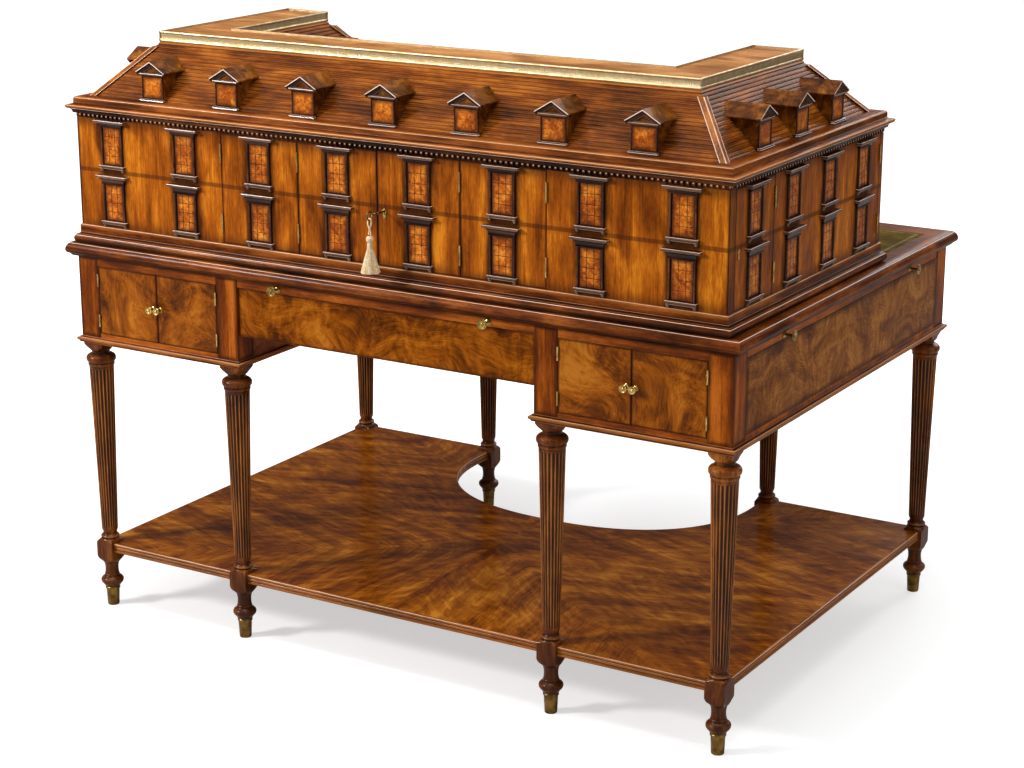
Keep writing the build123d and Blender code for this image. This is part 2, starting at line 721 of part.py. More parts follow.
hips = [hip_board(cabinet_x, cabinet_front, -1, 1), hip_board(cabinet_x, cabinet_end, -1, -1),
        hip_board(court_x, cabinet_end, 1, -1)]
save("hip_boards", *pair(*hips))


def make_dormer():
    """A dormer on a wall line at Y = 0 that faces -Y, to be trimmed by the roof."""
    low = roof_base
    half, eaves = dormer_width / 2, roof_base + dormer_eaves
    depth = roof_run
    front = roof_inset
    gable = [(-half, low + dormer_sill), (half, low + dormer_sill), (half, eaves),
             (0, eaves + dormer_rise), (-half, eaves)]
    back = Plane(origin=(0, front + depth, 0), x_dir=(1, 0, 0), z_dir=(0, -1, 0))
    body = extrude(back * make_face(Polyline(*gable, close=True)), depth)
    wide = half + dormer_overhang
    drop = dormer_rise * dormer_overhang / half
    apex = eaves + dormer_rise
    tiles = [(0, apex), (wide, eaves - drop), (wide, eaves - drop + dormer_tile),
             (0, apex + dormer_tile * 1.25), (-wide, eaves - drop + dormer_tile), (-wide, eaves - drop)]
    roofing = extrude(back * make_face(Polyline(*tiles, close=True)), depth + 9)
    sill = block(-half - 3, half + 3, front - 8, front + 12, low, low + dormer_sill)
    hollow_gable = [(-half + 7, eaves + 2.5), (half - 7, eaves + 2.5), (0, eaves + dormer_rise - 5)]
    tympanum = extrude(back * make_face(Polyline(*hollow_gable, close=True)), depth)
    tympanum = tympanum & block(-half, half, front - 1, front + 2, low, apex)
    slope = [(front, low), (front + roof_run, roof_top), (front + 3 * roof_run, roof_top),
             (front + 3 * roof_run, low - 10), (front, low - 10)]
    side = Plane(origin=(wide + 5, 0, 0), x_dir=(0, 1, 0), z_dir=(1, 0, 0))
    behind = extrude(side * make_face(Polyline(*slope, close=True)), -2 * (wide + 5))
    return [piece - behind for piece in (body - tympanum, roofing - body, sill)]


dormer = make_dormer()
dormer_places = [
    *[(n * facade_pitch, cabinet_front, 0) for n in range(-3, 4)],
    *[(sx * cabinet_x, side_middle + n * side_pitch, sx * 90) for sx in (-1, 1) for n in (-1, 0, 1)],
    *[(sx * (cabinet_x - range_depth / 2), cabinet_end, 180) for sx in (-1, 1)],
    *[(n * facade_pitch, court_y, 180) for n in (-1, 0, 1)],
    *[(sx * court_x, (court_y + cabinet_end) / 2, -sx * 90) for sx in (-1, 1)],
]
dormers = []
for x, y, turn in dormer_places:
    spot = Pos(x, y, 0) * Rot(0, 0, turn)
    dormers += [spot * piece for piece in dormer]
save("dormers", *dormers)


# --- facade leaves -------------------------------------------------------------------------
leaf_z = (wall_bottom + door_gap, wall_top - door_gap)
fold_x = facade_pitch
outer_leaf = block(fold_x + door_gap / 2, cupboard_x - door_gap, cabinet_front,
                   cabinet_front + door_thickness, *leaf_z)
inner_leaf = block(pair_gap / 2, fold_x - door_gap / 2, cabinet_front,
                   cabinet_front + door_thickness, *leaf_z)
for made in facade_hinges:
    outer_leaf = outer_leaf - made[3]
for made in fold_hinges:
    outer_leaf = outer_leaf - made[2]
    inner_leaf = inner_leaf - made[3]
outer_windows = windows_on([(facade_columns[1], cabinet_front)], 0)
inner_windows = windows_on([(facade_columns[0], cabinet_front)], 0)
outer_brass = [piece for made in facade_hinges for piece in made[1]]
outer_brass += [piece for made in fold_hinges for piece in made[0]]
inner_brass = [piece for made in fold_hinges for piece in made[1]]

key_x = 16.3
key_z = wall_bottom + key_height
lock_size = (30, 7, 44)
bolt_size = (20, 3, 8)
bolt_clearance = 0.1
bolt_y = cabinet_front + door_thickness + 2
bolt_z = key_z + 6
key_hole = key_shank_radius + key_hole_clearance
key_spot = Pos(key_x, cabinet_front, key_z)
key_bore = Pos(key_x, cabinet_front + door_thickness / 2, key_z) * Rot(90, 0, 0) * Cylinder(
    key_hole, door_thickness)


def make_escutcheon(wide, tall, hole):
    """A pierced brass plate of two lobes and a waist on a wall at Y = 0 that faces -Y."""
    foot = -tall * 0.6
    face = fused([Circle(wide / 2), Pos(0, foot / 2, 0) * Rectangle(wide * 0.55, -foot),
                  Pos(0, foot, 0) * Circle(wide * 0.38), Pos(0, wide / 2, 0) * Circle(wide * 0.16),
                  Pos(0, foot - wide * 0.38, 0) * Circle(wide * 0.16)])
    face = face - Circle(hole) - Pos(0, -1.6 * hole, 0) * Rectangle(hole, hole * 3)
    return Rot(90, 0, 0) * extrude(face, 1.6)


def make_lock():
    """The lock case behind the leaf, bored for the key."""
    back = cabinet_front + door_thickness
    edge = pair_gap / 2
    case = block(edge, edge + lock_size[0], back, back + lock_size[1],
                 key_z - lock_size[2] / 2, key_z + lock_size[2] / 2)
    case = case - block(edge, edge + bolt_size[0] + bolt_clearance, bolt_y - bolt_clearance,
                        bolt_y + bolt_size[1] + bolt_clearance, bolt_z - bolt_clearance,
                        bolt_z + bolt_size[2] + bolt_clearance)
    return case - Pos(key_x, back + lock_size[1] / 2, key_z) * Rot(90, 0, 0) * Cylinder(
        key_hole, lock_size[1] + 1)


right_inner_leaf = inner_leaf - key_bore
save("facade_right_outer_leaf", outer_leaf, *outer_windows)
save("facade_left_outer_leaf", *[mirrored(piece) for piece in (outer_leaf, *outer_windows)])
save("facade_right_inner_leaf", right_inner_leaf, *inner_windows)
save("facade_left_inner_leaf", *[mirrored(piece) for piece in (inner_leaf, *inner_windows)])
save("facade_right_outer_hinges", *outer_brass)
save("facade_left_outer_hinges", *[mirrored(piece) for piece in outer_brass])
save("facade_right_inner_fittings", *inner_brass, key_spot * make_escutcheon(8.8, 16, key_hole), make_lock())
save("facade_left_inner_hinges", *[mirrored(piece) for piece in inner_brass])


# --- key, tassel and cord ------------------------------------------------------------------
bow_y = cabinet_front - key_projection + bow_radius + bow_wire_radius
bar_z = key_z - bow_radius


def make_key():
    """A key along Y: shank with collars, and a bow of one ring between two side lobes."""
    shank_start = cabinet_front + door_thickness + lock_size[1] - 1
    shank_end = bow_y + bow_radius
    shank = Pos(0, (shank_start + shank_end) / 2, 0) * Rot(90, 0, 0) * Cylinder(
        key_shank_radius, shank_start - shank_end)
    collar = Pos(0, shank_end + 3, 0) * Rot(90, 0, 0) * Cylinder(3, 2)
    bow = Pos(0, bow_y, 0) * Rot(0, 90, 0) * Torus(bow_radius, bow_wire_radius)
    return Pos(key_x, 0, key_z) * (shank + collar + bow)


save("key", make_key())
save("lock_bolt", block(pair_gap / 2, pair_gap / 2 + bolt_size[0], bolt_y, bolt_y + bolt_size[1],
                        bolt_z, bolt_z + bolt_size[2]))

cord_points = [(-2.4, 0.2, -26.2), (-2.6, 0.9, -19.5), (0.1, 2.1, -13.2), (2.7, 1.3, -7.2),
               (3.9, 0.1, -1.2), (2.0, -0.1, 3.6), (-2.0, 0.1, 3.6), (-3.9, -0.1, -1.2),
               (-2.7, -1.3, -7.2), (-0.1, -2.1, -13.2), (2.6, -0.9, -19.5), (2.4, -0.2, -26.2)]


def make_cord():
    """Twisted loop from the tassel's head over the bow's wire and back to the head."""
    route = [Vector(key_x + x, bow_y + y, bar_z + z) for x, y, z in cord_points]
    radii = []
    for before, at, after in zip(route, route[1:], route[2:]):
        turn = radians((at - before).get_angle(after - at))
        run = min((at - before).length, (after - at).length)
        radii.append(0.45 * run / (sin(turn / 2) / cos(turn / 2)))
    print("cord radii", [round(radius, 1) for radius in radii])
    path = FilletPolyline(*route, radius=radii)
    print("cord length", round(path.length, 1))
    return sweep(Plane(path @ 0, z_dir=path % 0) * Circle(cord_diameter / 2), path=path)


cord = make_cord()
print("cord volume over section times length", round(
    cord.volume / (pi * cord_diameter ** 2 / 4) , 1))
save("tassel_cord", cord)

head_top = bar_z + cord_points[0][2] - cord_diameter / 2 * 0.2 - soft_clearance


def make_tassel():
    """Plain solid of the tassel: head ball, bound neck and flared skirt."""
    ball = 7
    neck = 26
    outline = [(tassel_radius, -tassel_height), (tassel_radius * 0.97, -tassel_height + 5),
               (tassel_radius * 0.65, -(tassel_height + neck) / 2), (8, -neck - 7), (5.6, -neck),
               (5.2, -neck + 8), (4.2, -neck + 10.5), *arc_points((0, -8), ball, -50, 58, 8), (4, 0)]
    shape = revolved(outline)
    return Pos(key_x, bow_y, head_top) * shape


save("tassel", make_tassel())

# --- side doors ----------------------------------------------------------------------------
side_door = block(cabinet_x - side_door_thickness, cabinet_x, cabinet_front + wall_thickness + pair_gap,
                  side_seam, *leaf_z)
for made in side_hinges:
    side_door = side_door - made[3]
side_windows = windows_on([(cabinet_x, side_columns[0])], 90)
side_escutcheon = Pos(cabinet_x, cabinet_front + wall_thickness + 14, key_z) * Rot(0, 0, 90) * make_escutcheon(8, 18, 1.6)
side_brass = [*[piece for made in side_hinges for piece in made[1]], side_escutcheon]
save("side_door_right", side_door, *side_windows)
save("side_door_left", *[mirrored(piece) for piece in (side_door, *side_windows)])
save("side_door_right_fittings", *side_brass)
save("side_door_left_fittings", *[mirrored(piece) for piece in side_brass])

# --- wing-end doors ------------------------------------------------------------------------
end_door = block(court_x + 1, cabinet_x, end_wall_y + 0.6, cabinet_end, *leaf_z)
for made in end_hinges:
    end_door = end_door - made[3]
end_windows = windows_on([(x, cabinet_end) for x in end_columns], 180)
end_escutcheon = Pos(court_x + 15, cabinet_end, key_z) * Rot(0, 0, 180) * make_escutcheon(8, 18, 1.6)
end_brass = [*[piece for made in end_hinges for piece in made[1]], end_escutcheon]
save("wing_door_right", end_door, *end_windows)
save("wing_door_left", *[mirrored(piece) for piece in (end_door, *end_windows)])
save("wing_door_right_fittings", *end_brass)
save("wing_door_left_fittings", *[mirrored(piece) for piece in end_brass])


# --- pedestal doors ------------------------------------------------------------------------
def make_knob(radius, length):
    """A turned knob that stands out along -Y from a face at Y = 0: a plate, a thin neck and a
    dished disc with a button in its middle."""
    plate, back = knob_plate_share * radius, length - knob_disc
    outline = [(plate, 0), (plate, 1.2), (plate - 1.2, 1.8), (plate - 2, 3), (2.8, 4), (2.4, 7),
               (2.4, back - 4), (3.6, back - 2.2), (radius - 2, back - 0.6), (radius - 0.4, back),
               (radius, back + 1), (radius - 0.6, back + 2), (radius - 1.8, back + 2.2),
               (radius - 3, back + 1.4), (3.4, back + 1.6), (3, back + 3), (1.8, length)]
    return Rot(90, 0, 0) * revolved(outline)


door_knob = make_knob(door_knob_radius, door_knob_length)
slide_knob = make_knob(slide_knob_radius, slide_knob_length)
leaf_width = (bay_x1 - bay_x0 - 2 * door_gap - pair_gap) / 2
base_leaf_z = (door_bottom + door_gap, door_top - door_gap)
knob_z = (door_bottom + door_top) / 2
base_outer = block(bay_x1 - door_gap - leaf_width, bay_x1 - door_gap, -case_y,
                   -case_y + door_thickness, *base_leaf_z)
base_inner = block(bay_x0 + door_gap, bay_x0 + door_gap + leaf_width, -case_y,
                   -case_y + door_thickness, *base_leaf_z)
for made in outer_hinges:
    base_outer = base_outer - made[3]
for made in inner_hinges:
    base_inner = base_inner - made[3]
seam_x = (bay_x0 + bay_x1) / 2
base_doors = {
    "outer": (base_outer, [*[p for made in outer_hinges for p in made[1]],
                           Pos(seam_x + door_knob_spread, -case_y, knob_z) * door_knob]),
    "inner": (base_inner, [*[p for made in inner_hinges for p in made[1]],
                           Pos(seam_x - door_knob_spread, -case_y, knob_z) * door_knob]),
}
for side, (leaf, brass) in base_doors.items():
    save(f"pedestal_door_right_{side}", leaf)
    save(f"pedestal_door_left_{side}", mirrored(leaf))
    save(f"pedestal_door_right_{side}_fittings", *brass)
    save(f"pedestal_door_left_{side}_fittings", *[mirrored(piece) for piece in brass])

# --- slides --------------------------------------------------------------------------------
slide_low = dust_top + slide_clearance
slide_z = (slide_low, slide_low + slide_thickness - slide_clearance)
slide_face = case_y - 2
centre_slide = block(-inner_x + door_gap, inner_x - door_gap, -slide_face,
                     -slide_face + centre_slide_depth, *slide_z)
slide_knob_z = (slide_z[0] + slide_z[1]) / 2
slide_knob_x = 237
save("slide_centre", centre_slide)
centre_knobs = [Pos(sx * slide_knob_x, -slide_face, slide_knob_z) * slide_knob for sx in (-1, 1)]
save("slide_centre_knobs", *centre_knobs)
side_slide_face = case_x - 1
side_slide = block(bay_x0 + side_slide_inset, side_slide_face, -side_slide_length / 2,
                   side_slide_length / 2, *slide_z)
side_knob_y = 296
side_knobs = [Pos(side_slide_face, sy * side_knob_y, slide_knob_z) * Rot(0, 0, 90) * slide_knob
              for sy in (-1, 1)]
save("slide_right", side_slide)
save("slide_left", mirrored(side_slide))
save("slide_right_knobs", *side_knobs)
save("slide_left_knobs", *[mirrored(piece) for piece in side_knobs])


# --- drawers on the sitter's side ----------------------------------------------------------
def make_drawer():
    """Boards of the right drawer: front, sides, back and bottom."""
    x0, x1 = bay_x0 + door_gap, bay_x1 - door_gap
    z0 = door_bottom + slide_clearance
    back = case_y - drawer_depth
    front = block(x0, x1, case_y - door_thickness, case_y, z0, door_top - door_gap)
    sides = [block(x, x + drawer_side, back, case_y - door_thickness, z0, z0 + drawer_height)
             for x in (x0 + 1, x1 - 1 - drawer_side)]
    rear = block(x0 + 1 + drawer_side, x1 - 1 - drawer_side, back, back + drawer_side, z0,
                 z0 + drawer_height)
    bottom = block(x0 + 1 + drawer_side, x1 - 1 - drawer_side, back + drawer_side,
                   case_y - door_thickness, z0, z0 + board_thickness)
    return [front, *sides, rear, bottom]


drawer = make_drawer()
drawer_knobs = [Pos(seam_x + sx * drawer_knob_spread, case_y, knob_z) * Rot(0, 0, 180) * slide_knob
                for sx in (-1, 1)]
save("drawer_right", *drawer)
save("drawer_left", *[mirrored(piece) for piece in drawer])
save("drawer_right_knobs", *drawer_knobs)
save("drawer_left_knobs", *[mirrored(piece) for piece in drawer_knobs])
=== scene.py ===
from math import pi, radians

import bmesh
import bpy
import numpy as np
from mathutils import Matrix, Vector


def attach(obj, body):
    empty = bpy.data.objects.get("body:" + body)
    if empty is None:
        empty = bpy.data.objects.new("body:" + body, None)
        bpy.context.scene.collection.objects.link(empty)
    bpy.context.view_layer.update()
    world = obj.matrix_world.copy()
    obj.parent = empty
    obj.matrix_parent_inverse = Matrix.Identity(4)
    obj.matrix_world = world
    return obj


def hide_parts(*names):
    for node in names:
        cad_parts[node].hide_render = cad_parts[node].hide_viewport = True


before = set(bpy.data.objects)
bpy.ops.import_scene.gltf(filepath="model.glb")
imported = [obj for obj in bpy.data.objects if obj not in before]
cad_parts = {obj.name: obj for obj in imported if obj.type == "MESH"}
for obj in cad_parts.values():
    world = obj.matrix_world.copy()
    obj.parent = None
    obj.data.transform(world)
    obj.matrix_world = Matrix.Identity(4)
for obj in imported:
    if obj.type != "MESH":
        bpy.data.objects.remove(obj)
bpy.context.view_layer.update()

# All sizes below are millimetres in the desk's own frame: the top's middle at x = y = 0, the
# floor at z = 0, the palace facade towards -y. piece() turns them into metres and moves them
# to the middle of the footprint.
TO_METRES = 0.001
SHIFT_Y = 21.0

# the desk
TOP = (752.0, 515.0, 786.0)
CASE = (734.0, 497.0)
INNER_X = 335.0
CASE_BOTTOM, TOP_UNDERSIDE = 590.0, 757.0
RAIL_Z = 739.5
DOOR_BOTTOM = 599.0
POST_SIZE, PANEL_THICK = 50.0, 16.0
APRON_FACE, APRON_BOTTOM = 492.0, 641.5
LEG_XS, LEG_Y = (709.0, 360.0), 472.0
SHELF_TOP, SHELF_THICK = 141.0, 20.0
# the cabinet
CAB_X, CAB_FRONT, CAB_END = 718.0, -497.0, 168.0
COURT_X, COURT_Y = 374.0, -153.0
WALL_Z = (824.0, 1040.5)
ROOF_Z = (1081.0, 1183.0)
ROOF_INSET, ROOF_RUN = 23.0, 98.0
GALLERY_TOP, DECK_TOP = 1204.0, 1201.0
UPPER_PANE, LOWER_PANE = (950.0, 1026.0), (838.0, 911.5)
# the windows: BAY from one to the next on the facade and court, SIDE_BAY on the sides
BAY, SIDE_BAY = 180.0, 157.0
FACADE_COLUMNS = tuple(BAY * (n + 0.5) for n in range(4))
SIDE_COLUMNS = tuple(-400.0 + SIDE_BAY * n for n in range(4))
END_COLUMNS = (460.0, 632.0)
COURT_COLUMNS = tuple(COURT_Y + (CAB_END - COURT_Y) * part for part in (0.25, 0.75))
SIDE_SEAM = -321.5
LEAF_Z = (824.8, 1039.7)
# the dentils, and the heights of the walls' middle and of the string course
DENTIL_STEP, DENTIL_MIDDLE = 11.2, 1046.8
WALL_MIDDLE, STRING_COURSE = 932.3, 937.2
# the key and its tassel: the cord hangs over the bow's foot, and the tassel's head under it
KEY_X, KEY_Z, KEY_REACH, BOW_RADIUS = 16.3, 929.0, 60.0, 8.8
BOW_Y, BAR_Z = CAB_FRONT - KEY_REACH + BOW_RADIUS + 1.4, KEY_Z - BOW_RADIUS
CORD_DROP = 26.2
HEAD_TOP = BAR_Z - CORD_DROP - 0.28 - 0.3


# --- meshes --------------------------------------------------------------------------------
def grid_quads(rows, cols, close_rows=False, close_cols=False):
    """Corner numbers of the quads on a rows x cols grid, stored row by row."""
    r = np.arange(rows if close_rows else rows - 1)
    c = np.arange(cols if close_cols else cols - 1)
    r, c = [a.ravel() for a in np.meshgrid(r, c, indexing="ij")]
    r1, c1 = (r + 1) % rows, (c + 1) % cols
    return np.stack([r * cols + c, r * cols + c1, r1 * cols + c1, r1 * cols + c], axis=1)


def surface(points, close_rows=False, close_cols=False, caps=False, height=None):
    """A shell over a (rows, cols, 3) grid; caps closes its first and last rows. height is its
    relief, one value a row or one a point: 0 deep in a groove, 1 out on a nose."""
    rows, cols, _ = points.shape
    quads = grid_quads(rows, cols, close_rows, close_cols)
    last = (rows - 1) * cols
    ends = [list(range(cols)), list(range(last, last + cols))] if caps else []
    height = np.full(rows, 0.5) if height is None else np.asarray(height, float)
    height = height if height.ndim == 2 else np.repeat(height[:, None], cols, axis=1)
    return {"points": points.reshape(-1, 3), "quads": quads, "ends": ends, "uv": None,
            "relief": height.ravel()}


def relief(profile, reach=7.0):
    """How far each point of an (out, z) profile stands proud of the same profile smoothed: the
    offset along the normal (dz, -dout) from the mean of its neighbours within reach, over
    1.6 mm, about 0.5 and kept between 0 and 1."""
    line = np.array(profile, float)
    run = np.concatenate([[0], np.cumsum(np.linalg.norm(np.diff(line, axis=0), axis=1))])
    fine = np.arange(0, run[-1] + 0.25, 0.25)
    dense = np.stack([np.interp(fine, run, line[:, n]) for n in (0, 1)], axis=1)
    half = max(1, int(reach / 0.5))
    padded = np.pad(dense, ((half, half), (0, 0)), mode="edge")
    total = np.cumsum(np.vstack([np.zeros(2), padded]), axis=0)
    smooth = (total[2 * half + 1:] - total[:-2 * half - 1]) / (2 * half + 1)
    along = np.gradient(smooth, axis=0)
    along = along / np.maximum(np.linalg.norm(along, axis=1, keepdims=True), 1e-9)
    proud = np.sum((dense - smooth) * np.stack([along[:, 1], -along[:, 0]], axis=1), axis=1)
    return np.clip(0.5 + np.interp(run, fine, proud) / 1.6, 0, 1)


def relief_with_painted_light(rows, shine=(), shade=()):
    """Rows of a profile, whose last two numbers are (out, z), with their relief. The row
    nearest each (out, z, value) of shine takes that value, and new rows 0.7 mm before and after
    it keep the line thin: above 1 the finish draws a painted highlight line there. Rows between the
    heights of each (z0, z1, value) of shade take that value: a low value paints shade there."""
    rows = np.array(rows, float)
    line = rows[:, -2:]
    height = relief(line)
    for z0, z1, value in shade:
        height[(line[:, 1] >= z0) & (line[:, 1] <= z1)] = value
    run = np.concatenate([[0], np.cumsum(np.linalg.norm(np.diff(line, axis=0), axis=1))])
    spots = {int(np.argmin(np.hypot(*(line - spot[:2]).T))): spot[2] for spot in shine}
    beside = [run[n] + side for n in spots for side in (-0.7, 0.7) if 0 < run[n] + side < run[-1]]
    dense = np.unique(np.concatenate([run, beside]))
    out = np.stack([np.interp(dense, run, rows[:, n]) for n in range(rows.shape[1])], axis=1)
    bright = np.interp(dense, run, height)
    for n, value in spots.items():
        bright[np.searchsorted(dense, run[n])] = value
    return out, bright


def offset_plan(plan, out):
    """A closed counter-clockwise plan pushed outwards: each corner moves along its mitre by
    out * (n0 + n1) / (1 + n0 . n1), where n0 and n1 are the normals of the edges beside it."""
    edge = np.roll(plan, -1, axis=0) - plan
    edge = edge / np.linalg.norm(edge, axis=1, keepdims=True)
    after = np.stack([edge[:, 1], -edge[:, 0]], axis=1)
    before = np.roll(after, 1, axis=0)
    mitre = (before + after) / (1 + np.sum(before * after, axis=1, keepdims=True))
    return plan + out * mitre


def moulding(plan, profile, hollow=False, shine=(), shade=()):
    """A profile of (out, z) points carried round a closed plan with mitred corners. A hollow
    moulding closes its profile on itself, and any other is capped above and below."""
    plan = np.asarray(plan, float)
    profile, height = relief_with_painted_light(profile, shine, shade)
    rings = [np.column_stack([offset_plan(plan, out), np.full(len(plan), z)]) for out, z in profile]
    return surface(np.array(rings), close_rows=hollow, close_cols=True, caps=not hollow,
                   height=height)


def arc(centre, radius, start, end, steps):
    """Points centre + radius * (cos a, sin a), with a running from start to end degrees."""
    a = np.radians(np.linspace(start, end, steps + 1))
    return list(zip(centre[0] + radius * np.cos(a), centre[1] + radius * np.sin(a)))


def turned(profile, around=32):
    """A turned piece: each (radius, z) point of the profile carried round the z axis."""
    a = np.linspace(0, 2 * pi, around, endpoint=False)
    r, z = np.array(profile, float).T
    points = np.stack([np.outer(r, np.cos(a)), np.outer(r, np.sin(a)),
                       np.repeat(z[:, None], around, axis=1)], axis=2)
    return surface(points, close_cols=True, caps=True, height=relief(profile, 5.0))


def board(x0, x1, y0, y1, z0, z1, chamfer=0.6):
    """A box whose edges are chamfered: each corner is three points, one on each face beside
    it. Every flat face carries its own (u, v) in metres and its (width, height)."""
    low, high = np.array([x0, y0, z0], float), np.array([x1, y1, z1], float)
    low, high = np.minimum(low, high), np.maximum(low, high)
    c = min(chamfer, 0.45 * float((high - low).min()))
    signs = np.array([(i, j, k) for i in (0, 1) for j in (0, 1) for k in (0, 1)])
    corners = np.where(signs, high, low)
    inward = np.where(signs, -c, c)
    points = np.array([[corner + move * (np.arange(3) != axis) for axis in range(3)]
                       for corner, move in zip(corners, inward)]).reshape(-1, 3)
    number = lambda sign, axis: 3 * (4 * sign[0] + 2 * sign[1] + sign[2]) + axis
    quads, marks, sizes, ends = [], [], [], []
    for axis in range(3):
        p, q = [n for n in range(3) if n != axis]
        if axis == 1:
            p, q = 0, 2
        width, height = (high - low)[p] * TO_METRES, (high - low)[q] * TO_METRES
        for side in (0, 1):
            ring = []
            for a, b in ((0, 0), (1, 0), (1, 1), (0, 1)):
                sign = [0, 0, 0]
                sign[axis], sign[p], sign[q] = side, a, b
                ring.append(number(sign, axis))
            quads.append(ring)
            marks.append([(0, 0), (width, 0), (width, height), (0, height)])
            sizes.append([(width, height)] * 4)
        for a in (0, 1):
            for b in (0, 1):
                ring = []
                for end, face in ((0, p), (0, q), (1, q), (1, p)):
                    sign = [0, 0, 0]
                    sign[axis], sign[p], sign[q] = end, a, b
                    ring.append(number(sign, face))
                quads.append(ring)
                marks.append([(0, 0)] * 4)
                sizes.append([(1, 1)] * 4)
    for corner in signs:
        ends.append([number(corner, axis) for axis in range(3)])
    return {"points": points, "quads": np.array(quads), "ends": ends,
            "uv": (np.array(marks, float), np.array(sizes, float)), "relief": np.full(24, 0.5)}


def place(shell, x=0.0, y=0.0, turn=0.0, z=0.0):
    """The shell turned about z by turn degrees and moved to (x, y, z)."""
    a = radians(turn)
    spin = np.array([[np.cos(a), -np.sin(a), 0], [np.sin(a), np.cos(a), 0], [0, 0, 1]])
    return {**shell, "points": shell["points"] @ spin.T + np.array([x, y, z])}


def flipped(shells):
    """The shells mirrored in the desk's middle plane x = 0."""
    return [{**shell, "points": shell["points"] * np.array([-1, 1, 1])} for shell in shells]


def both_sides(shells):
    """The shells and their mirror images."""
    return [*shells, *flipped(shells)]


def runs_along_y(points, loops, firsts):
    """1 for each face whose box in plan is longer along y than along x, and 0 for the rest."""
    plan = points[loops, :2]
    spread = np.maximum.reduceat(plan, firsts) - np.minimum.reduceat(plan, firsts)
    return (spread[:, 1] > spread[:, 0]).astype(np.float32)


def keep_values(mesh, name, domain, values):
    """A named value on each point or each face of a mesh, for its finish to read."""
    mesh.attributes.new(name, "FLOAT", domain).data.foreach_set("value", values.astype(np.float32))


def piece(name, shells, body, finish, replaces=(), sharp=40.0):
    """One object from shells: their points in metres at the footprint's middle, faces turned
    outwards, smooth except over edges sharper than sharp degrees."""
    points = np.concatenate([shell["points"] for shell in shells]).astype(float)
    points[:, 1] += SHIFT_Y
    points *= TO_METRES
    first, loops, totals, marks, sizes = 0, [], [], [], []
    for shell in shells:
        quads = np.asarray(shell["quads"]) + first
        loops.append(quads.ravel())
        totals.append(np.full(len(quads), 4))
        uv = shell["uv"]
        marks.append(uv[0].reshape(-1, 2) if uv else np.zeros((quads.size, 2)))
        sizes.append(uv[1].reshape(-1, 2) if uv else np.ones((quads.size, 2)))
        for end in shell["ends"]:
            loops.append(np.array(end) + first)
            totals.append([len(end)])
            marks.append(np.zeros((len(end), 2)))
            sizes.append(np.ones((len(end), 2)))
        first += len(shell["points"])
    loops, totals = np.concatenate(loops), np.concatenate(totals)
    firsts = np.concatenate([[0], np.cumsum(totals)[:-1]])
    mesh = bpy.data.meshes.new(name)
    mesh.vertices.add(len(points))
    mesh.vertices.foreach_set("co", points.ravel())
    mesh.loops.add(len(loops))
    mesh.loops.foreach_set("vertex_index", loops.astype(np.int32))
    mesh.polygons.add(len(totals))
    mesh.polygons.foreach_set("loop_start", firsts.astype(np.int32))
    mesh.update(calc_edges=True)
    keep_values(mesh, "relief", "POINT", np.concatenate([shell["relief"] for shell in shells]))
    keep_values(mesh, "runs_y", "FACE", runs_along_y(points, loops, firsts))
    if any(shell["uv"] for shell in shells):
        for layer, values in (("face_place", marks), ("face_size", sizes)):
            mesh.uv_layers.new(name=layer).data.foreach_set("uv", np.concatenate(values).ravel())
    work = bmesh.new()
    work.from_mesh(mesh)
    bmesh.ops.recalc_face_normals(work, faces=work.faces)
    work.to_mesh(mesh)
    work.free()
    mesh.polygons.foreach_set("use_smooth", np.ones(len(mesh.polygons), bool))
    mesh.set_sharp_from_angle(angle=radians(sharp))
    mesh.materials.append(finish)
    made = bpy.data.objects.new(name, mesh)
    bpy.context.scene.collection.objects.link(made)
    if body:
        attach(made, body)
    if replaces:
        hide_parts(*replaces)
    return made


# --- finishes ------------------------------------------------------------------------------
def tone(code):
    """Linear colour of an sRGB hex code."""
    parts = np.array([int(code[n:n + 2], 16) / 255 for n in (0, 2, 4)])
    linear = np.where(parts <= 0.04045, parts / 12.92, ((parts + 0.055) / 1.055) ** 2.4)
    return (*[float(part) for part in linear], 1.0)


def add(tree, kind, inputs=None, **settings):
    """A shader node with its settings; a socket among the inputs is linked, a value written."""
    made = tree.nodes.new(kind)
    for key, value in settings.items():
        setattr(made, key, value)
    for key, value in (inputs or {}).items():
        if isinstance(value, bpy.types.NodeSocket):
            tree.links.new(value, made.inputs[key])
        else:
            made.inputs[key].default_value = value
    return made


def math(tree, operation, a, b=0.0, c=0.0):
    """One arithmetic step."""
    return add(tree, "ShaderNodeMath", {0: a, 1: b, 2: c}, operation=operation).outputs[0]


def blended(tree, factor, a, b, mode="MIX"):
    """Two colours mixed by a factor."""
    made = add(tree, "ShaderNodeMix", {0: factor, 6: a, 7: b}, data_type="RGBA", blend_type=mode)
    return made.outputs[2]


def ramp(tree, factor, stops):
    """A factor turned into colour through (position, hex code) stops."""
    made = add(tree, "ShaderNodeValToRGB", {0: factor})
    band = made.color_ramp.elements
    while len(band) < len(stops):
        band.new(0.5)
    for element, (position, code) in zip(band, stops):
        element.position, element.color = position, tone(code)
    return made.outputs[0]


def scaled(tree, vector, scale, turn=(0, 0, 0), move=(0, 0, 0)):
    """Coordinates through a Mapping node."""
    inputs = {"Vector": vector, "Scale": scale, "Rotation": turn, "Location": move}
    return add(tree, "ShaderNodeMapping", inputs).outputs[0]


def noise(tree, vector, scale, detail=4.0, roughness=0.55, distortion=0.0, colour=False):
    """Fractal noise; its value, or its colour where three of them are wanted."""
    inputs = {"Vector": vector, "Scale": scale, "Detail": detail, "Roughness": roughness,
              "Distortion": distortion}
    return add(tree, "ShaderNodeTexNoise", inputs).outputs[1 if colour else 0]


def step(tree, value, low, high, to=(0.0, 1.0)):
    """A smooth step from low to high."""
    inputs = {0: value, 1: low, 2: high, 3: to[0], 4: to[1]}
    return add(tree, "ShaderNodeMapRange", inputs, interpolation_type="SMOOTHSTEP").outputs[0]


